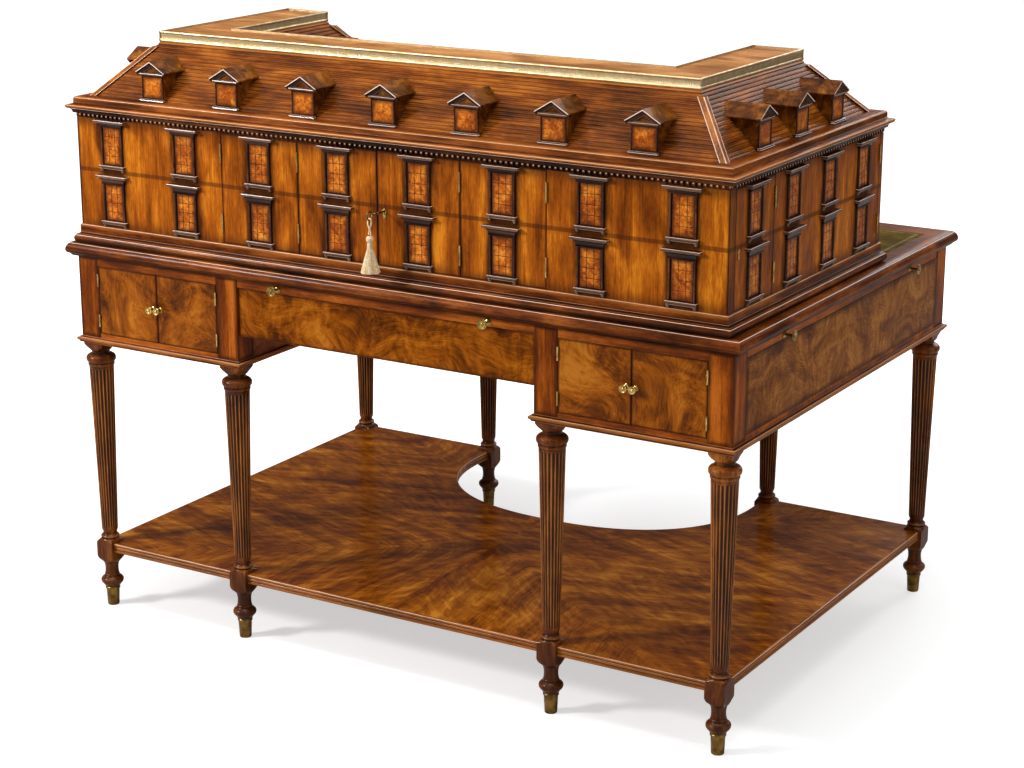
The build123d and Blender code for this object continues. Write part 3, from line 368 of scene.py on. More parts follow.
def finish(name, roughness, metallic=0.0, coat=0.0, coat_roughness=0.08, specular=0.5):
    """An empty material with its shader; returns the material, its tree and the shader."""
    made = bpy.data.materials.new(name)
    made.use_nodes = True
    tree = made.node_tree
    shader = tree.nodes["Principled BSDF"]
    shader.inputs["Roughness"].default_value = roughness
    shader.inputs["Metallic"].default_value = metallic
    shader.inputs["Coat Weight"].default_value = coat
    shader.inputs["Coat Roughness"].default_value = coat_roughness
    shader.inputs["Specular IOR Level"].default_value = specular
    return made, tree, shader


def bump(tree, shader, height, strength, distance):
    """A relief from a height value."""
    inputs = {"Height": height, "Strength": strength, "Distance": distance}
    made = add(tree, "ShaderNodeBump", inputs)
    tree.links.new(made.outputs[0], shader.inputs["Normal"])


def face_edge(tree, reach):
    """0 at the edge of a board's face, 1 from reach metres inwards: the smallest of u,
    width - u, v and height - v, stepped smoothly."""
    def pair(layer):
        """The two numbers that a map keeps for the face."""
        made = add(tree, "ShaderNodeUVMap", uv_map=layer)
        split = add(tree, "ShaderNodeSeparateXYZ", {0: made.outputs[0]})
        return split.outputs[0], split.outputs[1]
    (u, v), (width, height) = pair("face_place"), pair("face_size")
    across = math(tree, "MINIMUM", u, math(tree, "SUBTRACT", width, u))
    along = math(tree, "MINIMUM", v, math(tree, "SUBTRACT", height, v))
    return step(tree, math(tree, "MINIMUM", across, along), 0.0, reach)


def weighed(tree, *parts):
    """The sum of (value, weight) pairs."""
    total = math(tree, "MULTIPLY", parts[0][0], parts[0][1])
    for value, weight in parts[1:]:
        total = math(tree, "MULTIPLY_ADD", value, weight, total)
    return total


def glaze_and_painted_light(tree, colour, amount, code):
    """A colour mixed towards another, as strong as amount: a real dark glaze on the pores, and painted
    shade or painted highlights in most other uses.
    """
    return blended(tree, amount, colour, tone(code))


GRAIN = {"x": (1, 14, 14), "y": (14, 1, 14), "z": (14, 14, 1)}
HONEY = ((0.06, "5c2802"), (0.3, "823f04"), (0.5, "984c07"), (0.7, "b05e0c"), (0.92, "d07c18"))
POST = ((0.1, "542103"), (0.4, "7c3906"), (0.6, "96490b"), (0.88, "b86218"))
RED_BROWN = ((0.1, "381503"), (0.38, "562608"), (0.58, "6e330c"), (0.88, "904c18"))
UMBER = ((0.1, "1c0a02"), (0.42, "341606"), (0.62, "48220c"), (0.88, "66381a"))


def faces_sideways(tree):
    """1 on a face that looks along x, 0 on the rest: its normal's |x| above a half."""
    facing = add(tree, "ShaderNodeNewGeometry").outputs["Normal"]
    sideways = math(tree, "ABSOLUTE", add(tree, "ShaderNodeSeparateXYZ", {0: facing}).outputs[0])
    return math(tree, "GREATER_THAN", sideways, 0.5)


def mahogany(name, grain, stops, figure=1.0, edge=0.0, edge_tone="3a1a06", wall=False, painted_light_by_relief=False,
             dentils=False, darker_low=False, nose="b4703a", roughness=0.42, coat=0.0,
             coat_roughness=0.1, specular=0.1):
    """French-polished mahogany: fine fibres and broader streaks along the grain, slow clouds
    across them and short dark pores. Boards darken towards their edges with painted shade, and
    walls carry painted shade beside their windows. On mouldings, whose grain follows the run of
    each side, the relief sets the colour: noses are lighter, partly worn and partly a painted
    highlight, hollows hold painted shade over dark polish, and relief above 1 draws painted
    highlight lines. Dentils carry a painted highlight on their middles, and legs darken towards
    the floor."""
    made, tree, shader = finish(name, roughness, coat=coat, coat_roughness=coat_roughness,
                                specular=specular)
    place_on = add(tree, "ShaderNodeTexCoord").outputs["Object"]
    along = place_on
    if painted_light_by_relief and grain == "x":
        x, y, z = add(tree, "ShaderNodeSeparateXYZ", {0: place_on}).outputs
        turned_on = add(tree, "ShaderNodeCombineXYZ", {0: y, 1: x, 2: z}).outputs[0]
        runs_y = add(tree, "ShaderNodeAttribute", attribute_name="runs_y").outputs["Fac"]
        along = add(tree, "ShaderNodeMix", {0: runs_y, 4: place_on, 5: turned_on},
                    data_type="VECTOR").outputs[1]

    def stretched(power, scale):
        """The place drawn out along the grain: each axis times scale * its share ** power."""
        return scaled(tree, along, tuple(scale * part ** power for part in GRAIN[grain]))

    fibres = noise(tree, stretched(1.2, 2.0), 5.0, 5.0, 0.62, 0.3)
    streaks = noise(tree, stretched(0.75, 1.0), 6.0, 5.0, 0.58, 0.8)
    clouds = noise(tree, stretched(0.5 if wall else 0.25, figure), 6.0, 4.0, 0.5, 0.8)
    flecks = noise(tree, stretched(0.7, 1.0), 60.0, 3.0, 0.6)
    mixed = weighed(tree, (fibres, 0.2), (streaks, 0.26), (clouds, 0.4), (flecks, 0.14))
    colour = ramp(tree, step(tree, mixed, 0.34, 0.66), stops)
    pores = noise(tree, stretched(1.0, 1.0), 80.0, 2.0)
    colour = glaze_and_painted_light(tree, colour, step(tree, pores, 0.56, 0.68, (0.0, 0.4)), "2a1206")
    drift = math(tree, "SUBTRACT", clouds, 0.5)
    # Painted shade: each board darkens towards the edges of its faces, which also marks the leaves' dark
    # joints.
    if edge:
        rim = math(tree, "MULTIPLY_ADD", drift, 0.6, face_edge(tree, edge))
        colour = glaze_and_painted_light(tree, colour, step(tree, rim, 0.0, 1.0, (0.75, 0.0)), edge_tone)
    if wall:
        colour = wall_shade_and_string_course(tree, colour, place_on, drift)
    if darker_low:
        # Darker towards the bottom of the piece.
        height = add(tree, "ShaderNodeSeparateXYZ", {0: place_on}).outputs[2]
        colour = glaze_and_painted_light(tree, colour, step(tree, height, 0.06, 0.26, (0.5, 0.0)), "2a1206")
    if dentils:
        # Painted highlight: a pale dot on the middle of each dentil.
        dentil_highlight = step(tree, off_the_middle(tree, place_on), 0.2, 1.2, (0.8, 0.0))
        colour = glaze_and_painted_light(tree, colour, dentil_highlight, "d0ae8c")
    if painted_light_by_relief:
        proud = add(tree, "ShaderNodeAttribute", attribute_name="relief").outputs["Fac"]
        relief_light_level = math(tree, "MULTIPLY_ADD", math(tree, "SUBTRACT", streaks, 0.5), 0.4, proud)
        # Painted shade in the hollows, over dark old polish.
        colour = glaze_and_painted_light(tree, colour, step(tree, relief_light_level, 0.14, 0.52, (0.85, 0.0)), "140702")
        # Noses lighter: partly wear, partly a painted highlight.
        colour = blended(tree, step(tree, relief_light_level, 0.58, 1.0, (0.0, 0.7)), colour, tone(nose))
        # Painted highlight lines where the relief is above 1.
        colour = blended(tree, step(tree, relief_light_level, 1.02, 1.6, (0.0, 0.9)), colour, tone("fbe6d6"))
    tree.links.new(colour, shader.inputs["Base Color"])
    sheen = step(tree, clouds, 0.3, 0.7, (roughness - 0.05, roughness + 0.07))
    tree.links.new(sheen, shader.inputs["Roughness"])
    bump(tree, shader, weighed(tree, (fibres, 0.6), (pores, 0.4)), 0.06, 0.0004)
    return made


def off_the_middle(tree, place_on, first_y=-462.7, half_width=2.1, half_height=1.6):
    """How far a point lies from the middle of its dentil, as the square of an ellipse's radius:
    (across / half_width) ** 2 + (up / half_height) ** 2. The dentils stand every DENTIL_STEP,
    counted from x = 0 or, on the sides, from first_y."""
    x, y, z = add(tree, "ShaderNodeSeparateXYZ", {0: place_on}).outputs
    run = add(tree, "ShaderNodeMix", {0: faces_sideways(tree), 2: x,
                                      3: math(tree, "SUBTRACT", y, first_y * TO_METRES)}).outputs[0]
    across = math(tree, "PINGPONG", run, DENTIL_STEP / 2 * TO_METRES)
    across = math(tree, "DIVIDE", across, half_width * TO_METRES)
    up = math(tree, "ABSOLUTE", math(tree, "SUBTRACT", z, DENTIL_MIDDLE * TO_METRES))
    up = math(tree, "DIVIDE", up, half_height * TO_METRES)
    return math(tree, "ADD", math(tree, "POWER", across, 2.0), math(tree, "POWER", up, 2.0))


def wall_shade_and_string_course(tree, colour, place_on, drift):
    """Darkening on the palace walls: painted shade, with old polish, beside the windows, darker
    towards the corners, painted shade under the cornice and above the plinth, and the string course
    that runs between the two storeys. The distance to the nearest window is a triangle wave, BAY
    long on the faces that look along y and SIDE_BAY on the rest."""
    x, y, height = add(tree, "ShaderNodeSeparateXYZ", {0: place_on}).outputs
    sideways = faces_sideways(tree)
    across = math(tree, "ABSOLUTE", x)
    along = math(tree, "SUBTRACT", y, (SIDE_COLUMNS[0] + SHIFT_Y) * TO_METRES)
    half_bay = BAY / 2 * TO_METRES
    front = math(tree, "PINGPONG", math(tree, "SUBTRACT", across, half_bay), half_bay)
    side = math(tree, "PINGPONG", along, SIDE_BAY / 2 * TO_METRES)
    beside = add(tree, "ShaderNodeMix", {0: sideways, 2: front, 3: side}).outputs[0]
    wander = math(tree, "MULTIPLY", drift, 0.03)
    # Painted shade, with old polish, beside the windows.
    beside = step(tree, math(tree, "ADD", beside, wander), 0.026, 0.043, (0.8, 0.0))
    colour = glaze_and_painted_light(tree, colour, beside, "2e1402")
    to_end = math(tree, "SUBTRACT", CAB_X * TO_METRES, across)
    to_front = math(tree, "SUBTRACT", y, (CAB_FRONT + SHIFT_Y) * TO_METRES)
    corner = add(tree, "ShaderNodeMix", {0: sideways, 2: step(tree, to_end, 0.0012, 0.006, (0.92, 0.0)),
                                         3: step(tree, to_front, 0.018, 0.023, (0.5, 0.0))}).outputs[0]
    colour = glaze_and_painted_light(tree, colour, corner, "1e0c03")
    middle = math(tree, "ABSOLUTE", math(tree, "SUBTRACT", height, WALL_MIDDLE * TO_METRES))
    shade_distance = math(tree, "ADD", middle, wander)
    # Painted shade under the cornice and above the plinth.
    colour = glaze_and_painted_light(tree, colour, step(tree, shade_distance, 0.086, 0.108, (0.0, 0.6)), "3a1a06")
    band = math(tree, "ABSOLUTE", math(tree, "SUBTRACT", height, STRING_COURSE * TO_METRES))
    return glaze_and_painted_light(tree, colour, step(tree, band, 0.003, 0.0052, (0.62, 0.0)), "3c1a04")


CROTCH = ((0.08, "3f1b02"), (0.34, "683203"), (0.52, "844304"), (0.68, "96500a"), (0.92, "b06a1a"))
# the undershelf's quarters meet on diagonals that climb from the middle in this direction
QUARTER_X, QUARTER_Y = 0.83, 0.56


def flame_mahogany(name, stops=CROTCH, edge=0.0, scale=1.0, along="z", quartered=False, swirl=0.2,
                   coat=0.0, roughness=0.36, specular=0.08):
    """Flame-figured veneer. The flow of the fibres is the place bent by a slow noise; plumes
    are noise drawn out along that flow, rays lie across it, and fibres are fine noise drawn
    out further. A quartered sheet feathers off the diagonal of its quarter: there the flow is
    (u - 0.8 |v|, v) for u along the diagonal and v across it."""
    made, tree, shader = finish(name, roughness, coat=coat, coat_roughness=0.09, specular=specular)
    place_on = add(tree, "ShaderNodeTexCoord").outputs["Object"]
    if quartered:
        centred = scaled(tree, place_on, (1, 1, 1), move=(0, -SHIFT_Y * TO_METRES, 0))
        split = add(tree, "ShaderNodeSeparateXYZ", {0: centred})
        x, y = (math(tree, "ABSOLUTE", split.outputs[n]) for n in (0, 1))
        u = weighed(tree, (x, QUARTER_X), (y, QUARTER_Y))
        v = weighed(tree, (x, QUARTER_Y), (y, -QUARTER_X))
        v = math(tree, "ABSOLUTE", math(tree, "ADD", v, 0.06))
        s = math(tree, "MULTIPLY_ADD", v, -0.8, u)
        sign = math(tree, "MULTIPLY", math(tree, "SIGN", split.outputs[0]), 3.0)
        sign = math(tree, "MULTIPLY_ADD", math(tree, "SIGN", split.outputs[1]), 7.0, sign)
        flow = add(tree, "ShaderNodeCombineXYZ", {0: s, 1: v, 2: sign}).outputs[0]
        draw, cross, thin = (1.0, 0.14, 1.0), (0.35, 1.0, 1.0), (1.0, 0.05, 1.0)
    else:
        flow = place_on
        draw, cross, thin = (tuple(lengthwise if axis == along else sideways for axis in "xyz")
                             for lengthwise, sideways in ((0.25, 1.0), (1.0, 0.4), (0.07, 1.0)))
    flow = bent(tree, flow, 6.0 * scale, swirl / scale)
    flow = bent(tree, flow, 30.0 * scale, 0.012 / scale)
    plumes = noise(tree, scaled(tree, flow, draw), 20.0 * scale, 3.0, 0.5)
    rays = noise(tree, scaled(tree, flow, cross), 60.0 * scale, 3.0, 0.55)
    fibres = noise(tree, scaled(tree, flow, thin), 230.0 * scale, 3.0, 0.6)
    slow = noise(tree, place_on, 6.0 * scale, 2.0)
    mixed = weighed(tree, (plumes, 0.36), (rays, 0.24), (fibres, 0.22), (slow, 0.18))
    colour = ramp(tree, step(tree, mixed, 0.32, 0.68), stops)
    # A darker border towards the edges: painted shade together with a toned veneer border.
    if edge:
        plume_drift = math(tree, "SUBTRACT", plumes, 0.5)
        rim = math(tree, "MULTIPLY_ADD", plume_drift, 0.5, face_edge(tree, edge))
        colour = glaze_and_painted_light(tree, colour, step(tree, rim, 0.0, 1.0, (0.7, 0.0)), "3c1a06")
    tree.links.new(colour, shader.inputs["Base Color"])
    sheen = step(tree, slow, 0.3, 0.7, (roughness - 0.05, roughness + 0.05))
    tree.links.new(sheen, shader.inputs["Roughness"])
    bump(tree, shader, fibres, 0.05, 0.0004)
    return made


def bent(tree, flow, size, reach):
    """A flow of fibres pushed about by a noise of that size: flow + reach * (noise - a half)."""
    push = noise(tree, flow, size, 1.0, 0.4, 0.0, colour=True)
    push = add(tree, "ShaderNodeVectorMath", {0: push, 1: (0.5, 0.5, 0.5)}, operation="SUBTRACT")
    push = add(tree, "ShaderNodeVectorMath", {0: push.outputs[0], "Scale": reach}, operation="SCALE")
    return add(tree, "ShaderNodeVectorMath", {0: flow, 1: push.outputs[0]}, operation="ADD").outputs[0]


def burl(name):
    """Amber burl: curled clouds with dark eyes and finer dots. It is bright in the middle of a
    pane and darker towards its rim, painted shade with old polish, and black where it meets the
    frame, a painted shade along that joint."""
    made, tree, shader = finish(name, 0.4, specular=0.12)
    place_on = add(tree, "ShaderNodeTexCoord").outputs["Object"]
    curls = noise(tree, place_on, 130.0, 5.0, 0.65, 1.2)
    glow = noise(tree, place_on, 30.0, 2.0)
    colour = ramp(tree, step(tree, weighed(tree, (curls, 0.6), (glow, 0.4)), 0.34, 0.66),
                  ((0.08, "843806"), (0.36, "a8520a"), (0.62, "c46a16"), (0.92, "e08a2c")))
    eyes = add(tree, "ShaderNodeTexVoronoi", {"Vector": place_on, "Scale": 150.0}).outputs["Distance"]
    colour = glaze_and_painted_light(tree, colour, step(tree, eyes, 0.06, 0.2, (0.55, 0.0)), "431a06")
    # Painted shade with old polish towards the pane's rim.
    rim = math(tree, "MULTIPLY_ADD", math(tree, "SUBTRACT", glow, 0.5), 0.5, face_edge(tree, 0.013))
    colour = glaze_and_painted_light(tree, colour, step(tree, rim, 0.0, 1.0, (0.8, 0.0)), "4a1c04")
    dots = add(tree, "ShaderNodeTexVoronoi", {"Vector": place_on, "Scale": 380.0}).outputs["Distance"]
    colour = glaze_and_painted_light(tree, colour, step(tree, dots, 0.08, 0.24, (0.5, 0.0)), "401606")
    # Painted shade: near black along the joint with the frame.
    colour = glaze_and_painted_light(tree, colour, step(tree, face_edge(tree, 0.0026), 0.35, 0.9, (0.9, 0.0)), "160702")
    tree.links.new(colour, shader.inputs["Base Color"])
    return made


def brass(name, bright, dull, roughness):
    """Brass with duller, rougher clouds."""
    made, tree, shader = finish(name, roughness, metallic=1.0)
    place_on = add(tree, "ShaderNodeTexCoord").outputs["Object"]
    clouds = noise(tree, place_on, 60.0, 5.0, 0.6)
    colour = blended(tree, step(tree, clouds, 0.35, 0.7), tone(bright), tone(dull))
    tree.links.new(colour, shader.inputs["Base Color"])
    sheen = step(tree, clouds, 0.3, 0.7, (roughness - 0.05, roughness + 0.12))
    tree.links.new(sheen, shader.inputs["Roughness"])
    return made


def leather(name):
    """Dyed and waxed leather: cloudy colour over a pebbled grain."""
    made, tree, shader = finish(name, 0.6, specular=0.01)
    place_on = add(tree, "ShaderNodeTexCoord").outputs["Object"]
    clouds = noise(tree, place_on, 14.0, 5.0, 0.7)
    colour = ramp(tree, step(tree, clouds, 0.25, 0.75),
                  ((0.2, "483a0c"), (0.55, "5e4a11"), (0.9, "725a1c")))
    tree.links.new(colour, shader.inputs["Base Color"])
    grain = add(tree, "ShaderNodeTexVoronoi", {"Vector": place_on, "Scale": 700.0}).outputs["Distance"]
    bump(tree, shader, grain, 0.25, 0.0003)
    return made


def silk(name, painted_light_by_relief=True):
    """Cream silk: fine threads, ivory where they stand out and straw between them, with painted shade
    where the threads sink.
    """
    made, tree, shader = finish(name, 0.55, specular=0.3)
    shader.inputs["Sheen Weight"].default_value = 0.3
    place_on = add(tree, "ShaderNodeTexCoord").outputs["Object"]
    threads = noise(tree, scaled(tree, place_on, (1, 1, 0.06)), 700.0, 2.0)
    colour = ramp(tree, threads, ((0.32, "c89a5c"), (0.5, "e6cfa2"), (0.72, "f6ecd6")))
    if painted_light_by_relief:
        proud = add(tree, "ShaderNodeAttribute", attribute_name="relief").outputs["Fac"]
        # Painted shade between the threads.
        colour = glaze_and_painted_light(tree, colour, step(tree, proud, 0.1, 0.55, (0.75, 0.0)), "9c6428")
    tree.links.new(colour, shader.inputs["Base Color"])
    bump(tree, shader, threads, 0.3, 0.0003)
    return made


def plain_steel(name):
    """Bright steel with fine brushing."""
    made, tree, shader = finish(name, 0.3, metallic=1.0)
    place_on = add(tree, "ShaderNodeTexCoord").outputs["Object"]
    brushing = noise(tree, scaled(tree, place_on, (1, 30, 30)), 200.0, 2.0)
    colour = blended(tree, brushing, tone("8c8c8a"), tone("b8b8b4"))
    tree.links.new(colour, shader.inputs["Base Color"])
    return made


wall_wood = mahogany("wall_mahogany", "z", HONEY, wall=True, specular=0.06)
leaf_wood = mahogany("leaf_mahogany", "z", HONEY, edge=0.005, wall=True, specular=0.06)
post_wood = mahogany("post_mahogany", "z", POST, edge=0.012, edge_tone="341606", specular=0.06)
rail_wood = mahogany("rail_mahogany", "x", POST)
rail_wood_y = mahogany("rail_mahogany_across", "y", POST)
case_wood = mahogany("case_mahogany", "x", RED_BROWN)
leg_wood = mahogany("leg_mahogany", "z",
                    ((0.1, "461c03"), (0.4, "683208"), (0.6, "824410"), (0.88, "a8621e")),
                    painted_light_by_relief=True, nose="c07c3c", roughness=0.32, coat=0.12, darker_low=True)
frame_wood = mahogany("window_frame_mahogany", "x", UMBER, painted_light_by_relief=True, nose="7a5842",
                      roughness=0.34, coat=0.35, coat_roughness=0.14, specular=0.06)
bar_wood = mahogany("window_bar_mahogany", "x", UMBER)
moulding_wood = mahogany("moulding_mahogany", "x", RED_BROWN, painted_light_by_relief=True, nose="bc7432",
                         roughness=0.36, coat=0.08, coat_roughness=0.12, specular=0.04)
roof_wood = mahogany("roof_mahogany", "x",
                     ((0.1, "3a1602"), (0.38, "602c05"), (0.58, "7c3c09"), (0.88, "a45e1a")),
                     painted_light_by_relief=True, nose="b06c30", roughness=0.34, coat=0.08, specular=0.06)
deck_wood = mahogany("deck_mahogany", "x",
                     ((0.1, "7a481c"), (0.42, "9c6432"), (0.62, "b0763e"), (0.9, "c68c52")))
panel_wood = flame_mahogany("panel_flame_mahogany", edge=0.008, along="x", scale=1.2, specular=0.04)
side_panel_wood = flame_mahogany("side_panel_flame_mahogany",
                                 ((0.08, "542608"), (0.34, "743e10"), (0.52, "884e18"),
                                  (0.68, "9a5e22"), (0.88, "b07230")),
                                 edge=0.014, along="y", scale=1.3, specular=0.03)
door_wood = flame_mahogany("door_flame_mahogany", edge=0.004, swirl=0.26)
drawer_wood = flame_mahogany("drawer_flame_mahogany", along="x", swirl=0.26)
cheek_wood = flame_mahogany("dormer_flame_mahogany",
                            ((0.08, "2e1403"), (0.34, "4c2607"), (0.52, "643408"),
                             (0.68, "7c450e"), (0.88, "a0601c")),
                            along="y", scale=2.0, coat=0.1)
shelf_wood = flame_mahogany("shelf_flame_mahogany",
                            ((0.06, "4a1e04"), (0.34, "723808"), (0.52, "88480a"),
                             (0.7, "a05a10"), (0.92, "c27c26")),
                            quartered=True, swirl=0.06, coat=0.06, roughness=0.24, specular=0.04)
hip_wood = mahogany("hip_board_mahogany", "z",
                    ((0.1, "5a2806"), (0.4, "78400a"), (0.6, "8e4e10"), (0.88, "ac661e")),
                    painted_light_by_relief=True, roughness=0.34, coat=0.1)
dentil_wood = mahogany("dentil_mahogany", "x", UMBER, dentils=True)
pane_burl = burl("pane_burl")
bright_brass = brass("bright_brass", "d8b872", "a07a3c", 0.24)
knob_brass = brass("knob_brass", "b49450", "5e481c", 0.26)
gallery_brass = brass("gallery_brass", "d8c096", "c0a474", 0.38)
foot_brass = brass("aged_brass", "94713a", "5c431d", 0.34)
key_brass = brass("key_bronze", "8a7650", "57451f", 0.3)
hide = leather("green_leather")
silk_thread = silk("cream_silk")
silk_cord = silk("cream_cord", painted_light_by_relief=False)
steel = plain_steel("bolt_steel")
gilt = brass("gilt_tooling", "7c642a", "5c4a1c", 0.5)


# --- camera, light and floor ---------------------------------------------------------------
def look(at, target):
    """A rotation whose -z axis points from at to target."""
    return (Vector(target) - Vector(at)).to_track_quat("-Z", "Y").to_euler()


camera = bpy.data.objects.new("camera", bpy.data.cameras.new("camera"))
camera.location = (2.3691, -3.9418 + SHIFT_Y * TO_METRES, 1.8103)
camera.rotation_euler = look(camera.location, (0.2554, -0.4406 + SHIFT_Y * TO_METRES, 0.62))
camera.data.sensor_width, camera.data.lens = 36.0, 81.21
camera.data.clip_end = 50
bpy.context.scene.collection.objects.link(camera)
bpy.context.scene.camera = camera
bpy.context.scene.view_settings.view_transform = "Standard"


def lamp(name, at, target, size, energy):
    """A soft light of that width and height."""
    data = bpy.data.lights.new(name, "AREA")
    data.shape, data.energy = "RECTANGLE", energy
    data.size, data.size_y = size
    made = bpy.data.objects.new(name, data)
    made.location, made.rotation_euler = at, look(at, target)
    bpy.context.scene.collection.objects.link(made)


lamp("key_light", (-3.2, -3.6, 2.9), (0, 0, 0.7), (0.8, 0.8), 215)
lamp("top_light", (0.6, -0.6, 4.2), (0, 0, 0.7), (2.6, 2.6), 80)
lamp("strip_light", (-1.3, -1.13, 2.8), (-1.3, -0.5, 0.8), (3.4, 0.1), 16)
lamp("right_light", (4.2, -0.6, 2.0), (0, 0, 0.7), (2.2, 2.2), 24)
lamp("back_light", (0.5, 4.2, 2.6), (0, 0, 0.7), (2.6, 2.6), 80)


def white_room():
    """A white surround for the camera and reflections, and a softer one for light."""
    world = bpy.data.worlds.new("room")
    bpy.context.scene.world = world
    world.use_nodes = True
    tree = world.node_tree
    rays = add(tree, "ShaderNodeLightPath")
    seen = math(tree, "MAXIMUM", rays.outputs["Is Camera Ray"], rays.outputs["Is Transmission Ray"])
    direction = add(tree, "ShaderNodeTexCoord").outputs["Generated"]
    height = add(tree, "ShaderNodeSeparateXYZ", {0: direction}).outputs[2]
    above = step(tree, height, 0.15, 0.75, (-0.2, 0.3))
    strength = math(tree, "MULTIPLY_ADD", rays.outputs["Is Glossy Ray"], above, 0.28)
    strength = math(tree, "MULTIPLY_ADD", seen, 0.72, strength)
    background = tree.nodes["Background"]
    background.inputs[0].default_value = (1, 1, 1, 1)
    tree.links.new(strength, background.inputs[1])


def pale_floor():
    """A wide pale floor that keeps the shadows and runs to white under the camera."""
    half = 9.0
    mesh = bpy.data.meshes.new("floor")
    mesh.from_pydata([(-half, -half, 0), (half, -half, 0), (half, half, 0), (-half, half, 0)], [],
                     [(0, 1, 2, 3)])
    made = bpy.data.objects.new("floor", mesh)
    bpy.context.scene.collection.objects.link(made)
    paint, tree, shader = finish("floor_paint", 0.9, specular=0.0)
    shader.inputs["Base Color"].default_value = (0.6, 0.6, 0.6, 1)
    shader.inputs["Emission Color"].default_value = (1, 1, 1, 1)
    away = add(tree, "ShaderNodeVectorMath", {0: add(tree, "ShaderNodeTexCoord").outputs["Object"]},
               operation="LENGTH").outputs[1]
    away = step(tree, away, 0.7, 2.2, (0.56, 1.0))
    rays = add(tree, "ShaderNodeLightPath").outputs
    seen = math(tree, "MULTIPLY_ADD", rays["Is Glossy Ray"], 0.08, rays["Is Camera Ray"])
    tree.links.new(math(tree, "MULTIPLY", seen, away), shader.inputs["Emission Strength"])
    mesh.materials.append(paint)


white_room()
pale_floor()


# --- the tassel's cord ---------------------------------------------------------------------
CORD = ((-2.4, 0.2, -CORD_DROP), (-2.6, 0.9, -19.5), (0.1, 2.1, -13.2), (2.7, 1.3, -7.2),
        (3.9, 0.1, -1.2), (2.0, -0.1, 3.6), (-2.0, 0.1, 3.6), (-3.9, -0.1, -1.2),
        (-2.7, -1.3, -7.2), (-0.1, -2.1, -13.2), (2.6, -0.9, -19.5), (2.4, -0.2, -CORD_DROP))
CORD_LENGTH, CORD_THICK = 65.5, 2.8


def cord_loop():
    """The cord's route: from the tassel's head up, over the key's bow and back to the head."""
    route = bpy.data.curves.new("tassel_cord_loop", "CURVE")
    route.dimensions, route.bevel_depth = "3D", CORD_THICK / 2 * TO_METRES
    route.bevel_resolution = 4
    route.use_fill_caps = True
    line = route.splines.new("NURBS")
    line.points.add(len(CORD) - 1)
    for point, (x, y, z) in zip(line.points, CORD):
        point.co = ((KEY_X + x) * TO_METRES, (BOW_Y + y + SHIFT_Y) * TO_METRES,
                    (BAR_Z + z) * TO_METRES, 1)
    line.order_u = 3
    line.use_endpoint_u = True
    line.resolution_u = 16
    route.materials.append(silk_cord)
    made = bpy.data.objects.new("tassel_cord_loop", route)
    bpy.context.scene.collection.objects.link(made)
    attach(made, "tassel")
    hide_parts("tassel_cord")


cord_loop()

# --- legs ----------------------------------------------------------------------------------
FLUTES = 20


def leg_profile():
    """(z, half size, squareness, flute depth) up the leg: squareness 1 is a square block of
    that half size, 0 a circle of that radius."""
    rows = [(42, 14.6, 0, 0), (43.5, 16.2, 0, 0), (46, 17.4, 0, 0), (48, 19.4, 0, 0), (50.5, 21.6, 0, 0),
            (53, 23, 0, 0), (56, 23.5, 0, 0), (59, 23, 0, 0), (61.5, 21.3, 0, 0), (63.6, 18.8, 0, 0),
            (65, 16.4, 0, 0), (67, 15.4, 0, 0), (69, 15.6, 0, 0), (70, 14.8, 0, 0), (73, 14.2, 0, 0),
            (80, 13.6, 0, 0), (86, 13.7, 0, 0), (91, 14.6, 0, 0), (95, 15.8, 0, 0), (97, 16.8, 0, 0)]
    rows += [(97.5, 17.5, 0, 0), (99.5, 19.2, 0.15, 0), (102, 20.2, 0.5, 0), (106, 20.3, 0.82, 0),
             (111, 20.3, 1, 0), (115, 20.3, 1, 0), (138, 20.3, 1, 0), (141, 20.3, 1, 0),
             (144, 20.3, 0.8, 0), (146.5, 20.1, 0.45, 0), (148.6, 19, 0.12, 0), (149.8, 17.6, 0, 0)]
    rows += [(150.4, 17.0, 0, 0), (151.6, 18.2, 0, 0), (154, 19.2, 0, 0), (156.4, 18.2, 0, 0),
             (157.6, 16.4, 0, 0), (159.5, 14.6, 0, 0), (163, 14.2, 0, 0), (165.5, 14.9, 0, 0),
             (168, 16.0, 0, 0), (171, 16.7, 0, 0)]
    shaft = np.linspace(174, 521, 16)
    size = 16.6 + (25.2 - 16.6) * (shaft - 170) / (525 - 170)
    depth = np.clip(np.minimum(shaft - 174, 521 - shaft) / 5, 0, 1)
    depth[0] = depth[-1] = 0
    rows += [(z, r, 0, d) for z, r, d in zip(shaft, size, depth)]
    rows[-16 + 1:-16 + 1] = [(178, 16.8, 0, 1.0)]
    rows[-1:-1] = [(517, 25.0, 0, 1.0)]
    rows += [(524.5, 25.2, 0, 0), (525.5, 26.0, 0, 0), (527, 26.8, 0, 0), (530.5, 26.8, 0, 0),
             (532, 26.2, 0, 0), (533, 27.0, 0, 0), (535.5, 29.2, 0, 0), (538.5, 30.2, 0, 0),
             (541.5, 30.2, 0, 0), (544.5, 29.2, 0, 0), (547, 27.2, 0, 0), (549, 24.0, 0, 0),
             (550.5, 20.4, 0, 0), (552, 18.4, 0, 0), (556, 18.2, 0, 0), (557.6, 19.0, 0, 0),
             (558.6, 21.2, 0, 0), (560.5, 22.6, 0.1, 0), (563, 23.2, 0.4, 0), (567, 23.2, 0.75, 0),
             (571, 23.2, 1, 0), (576, 23.2, 1, 0)]
    return np.array(rows, float)


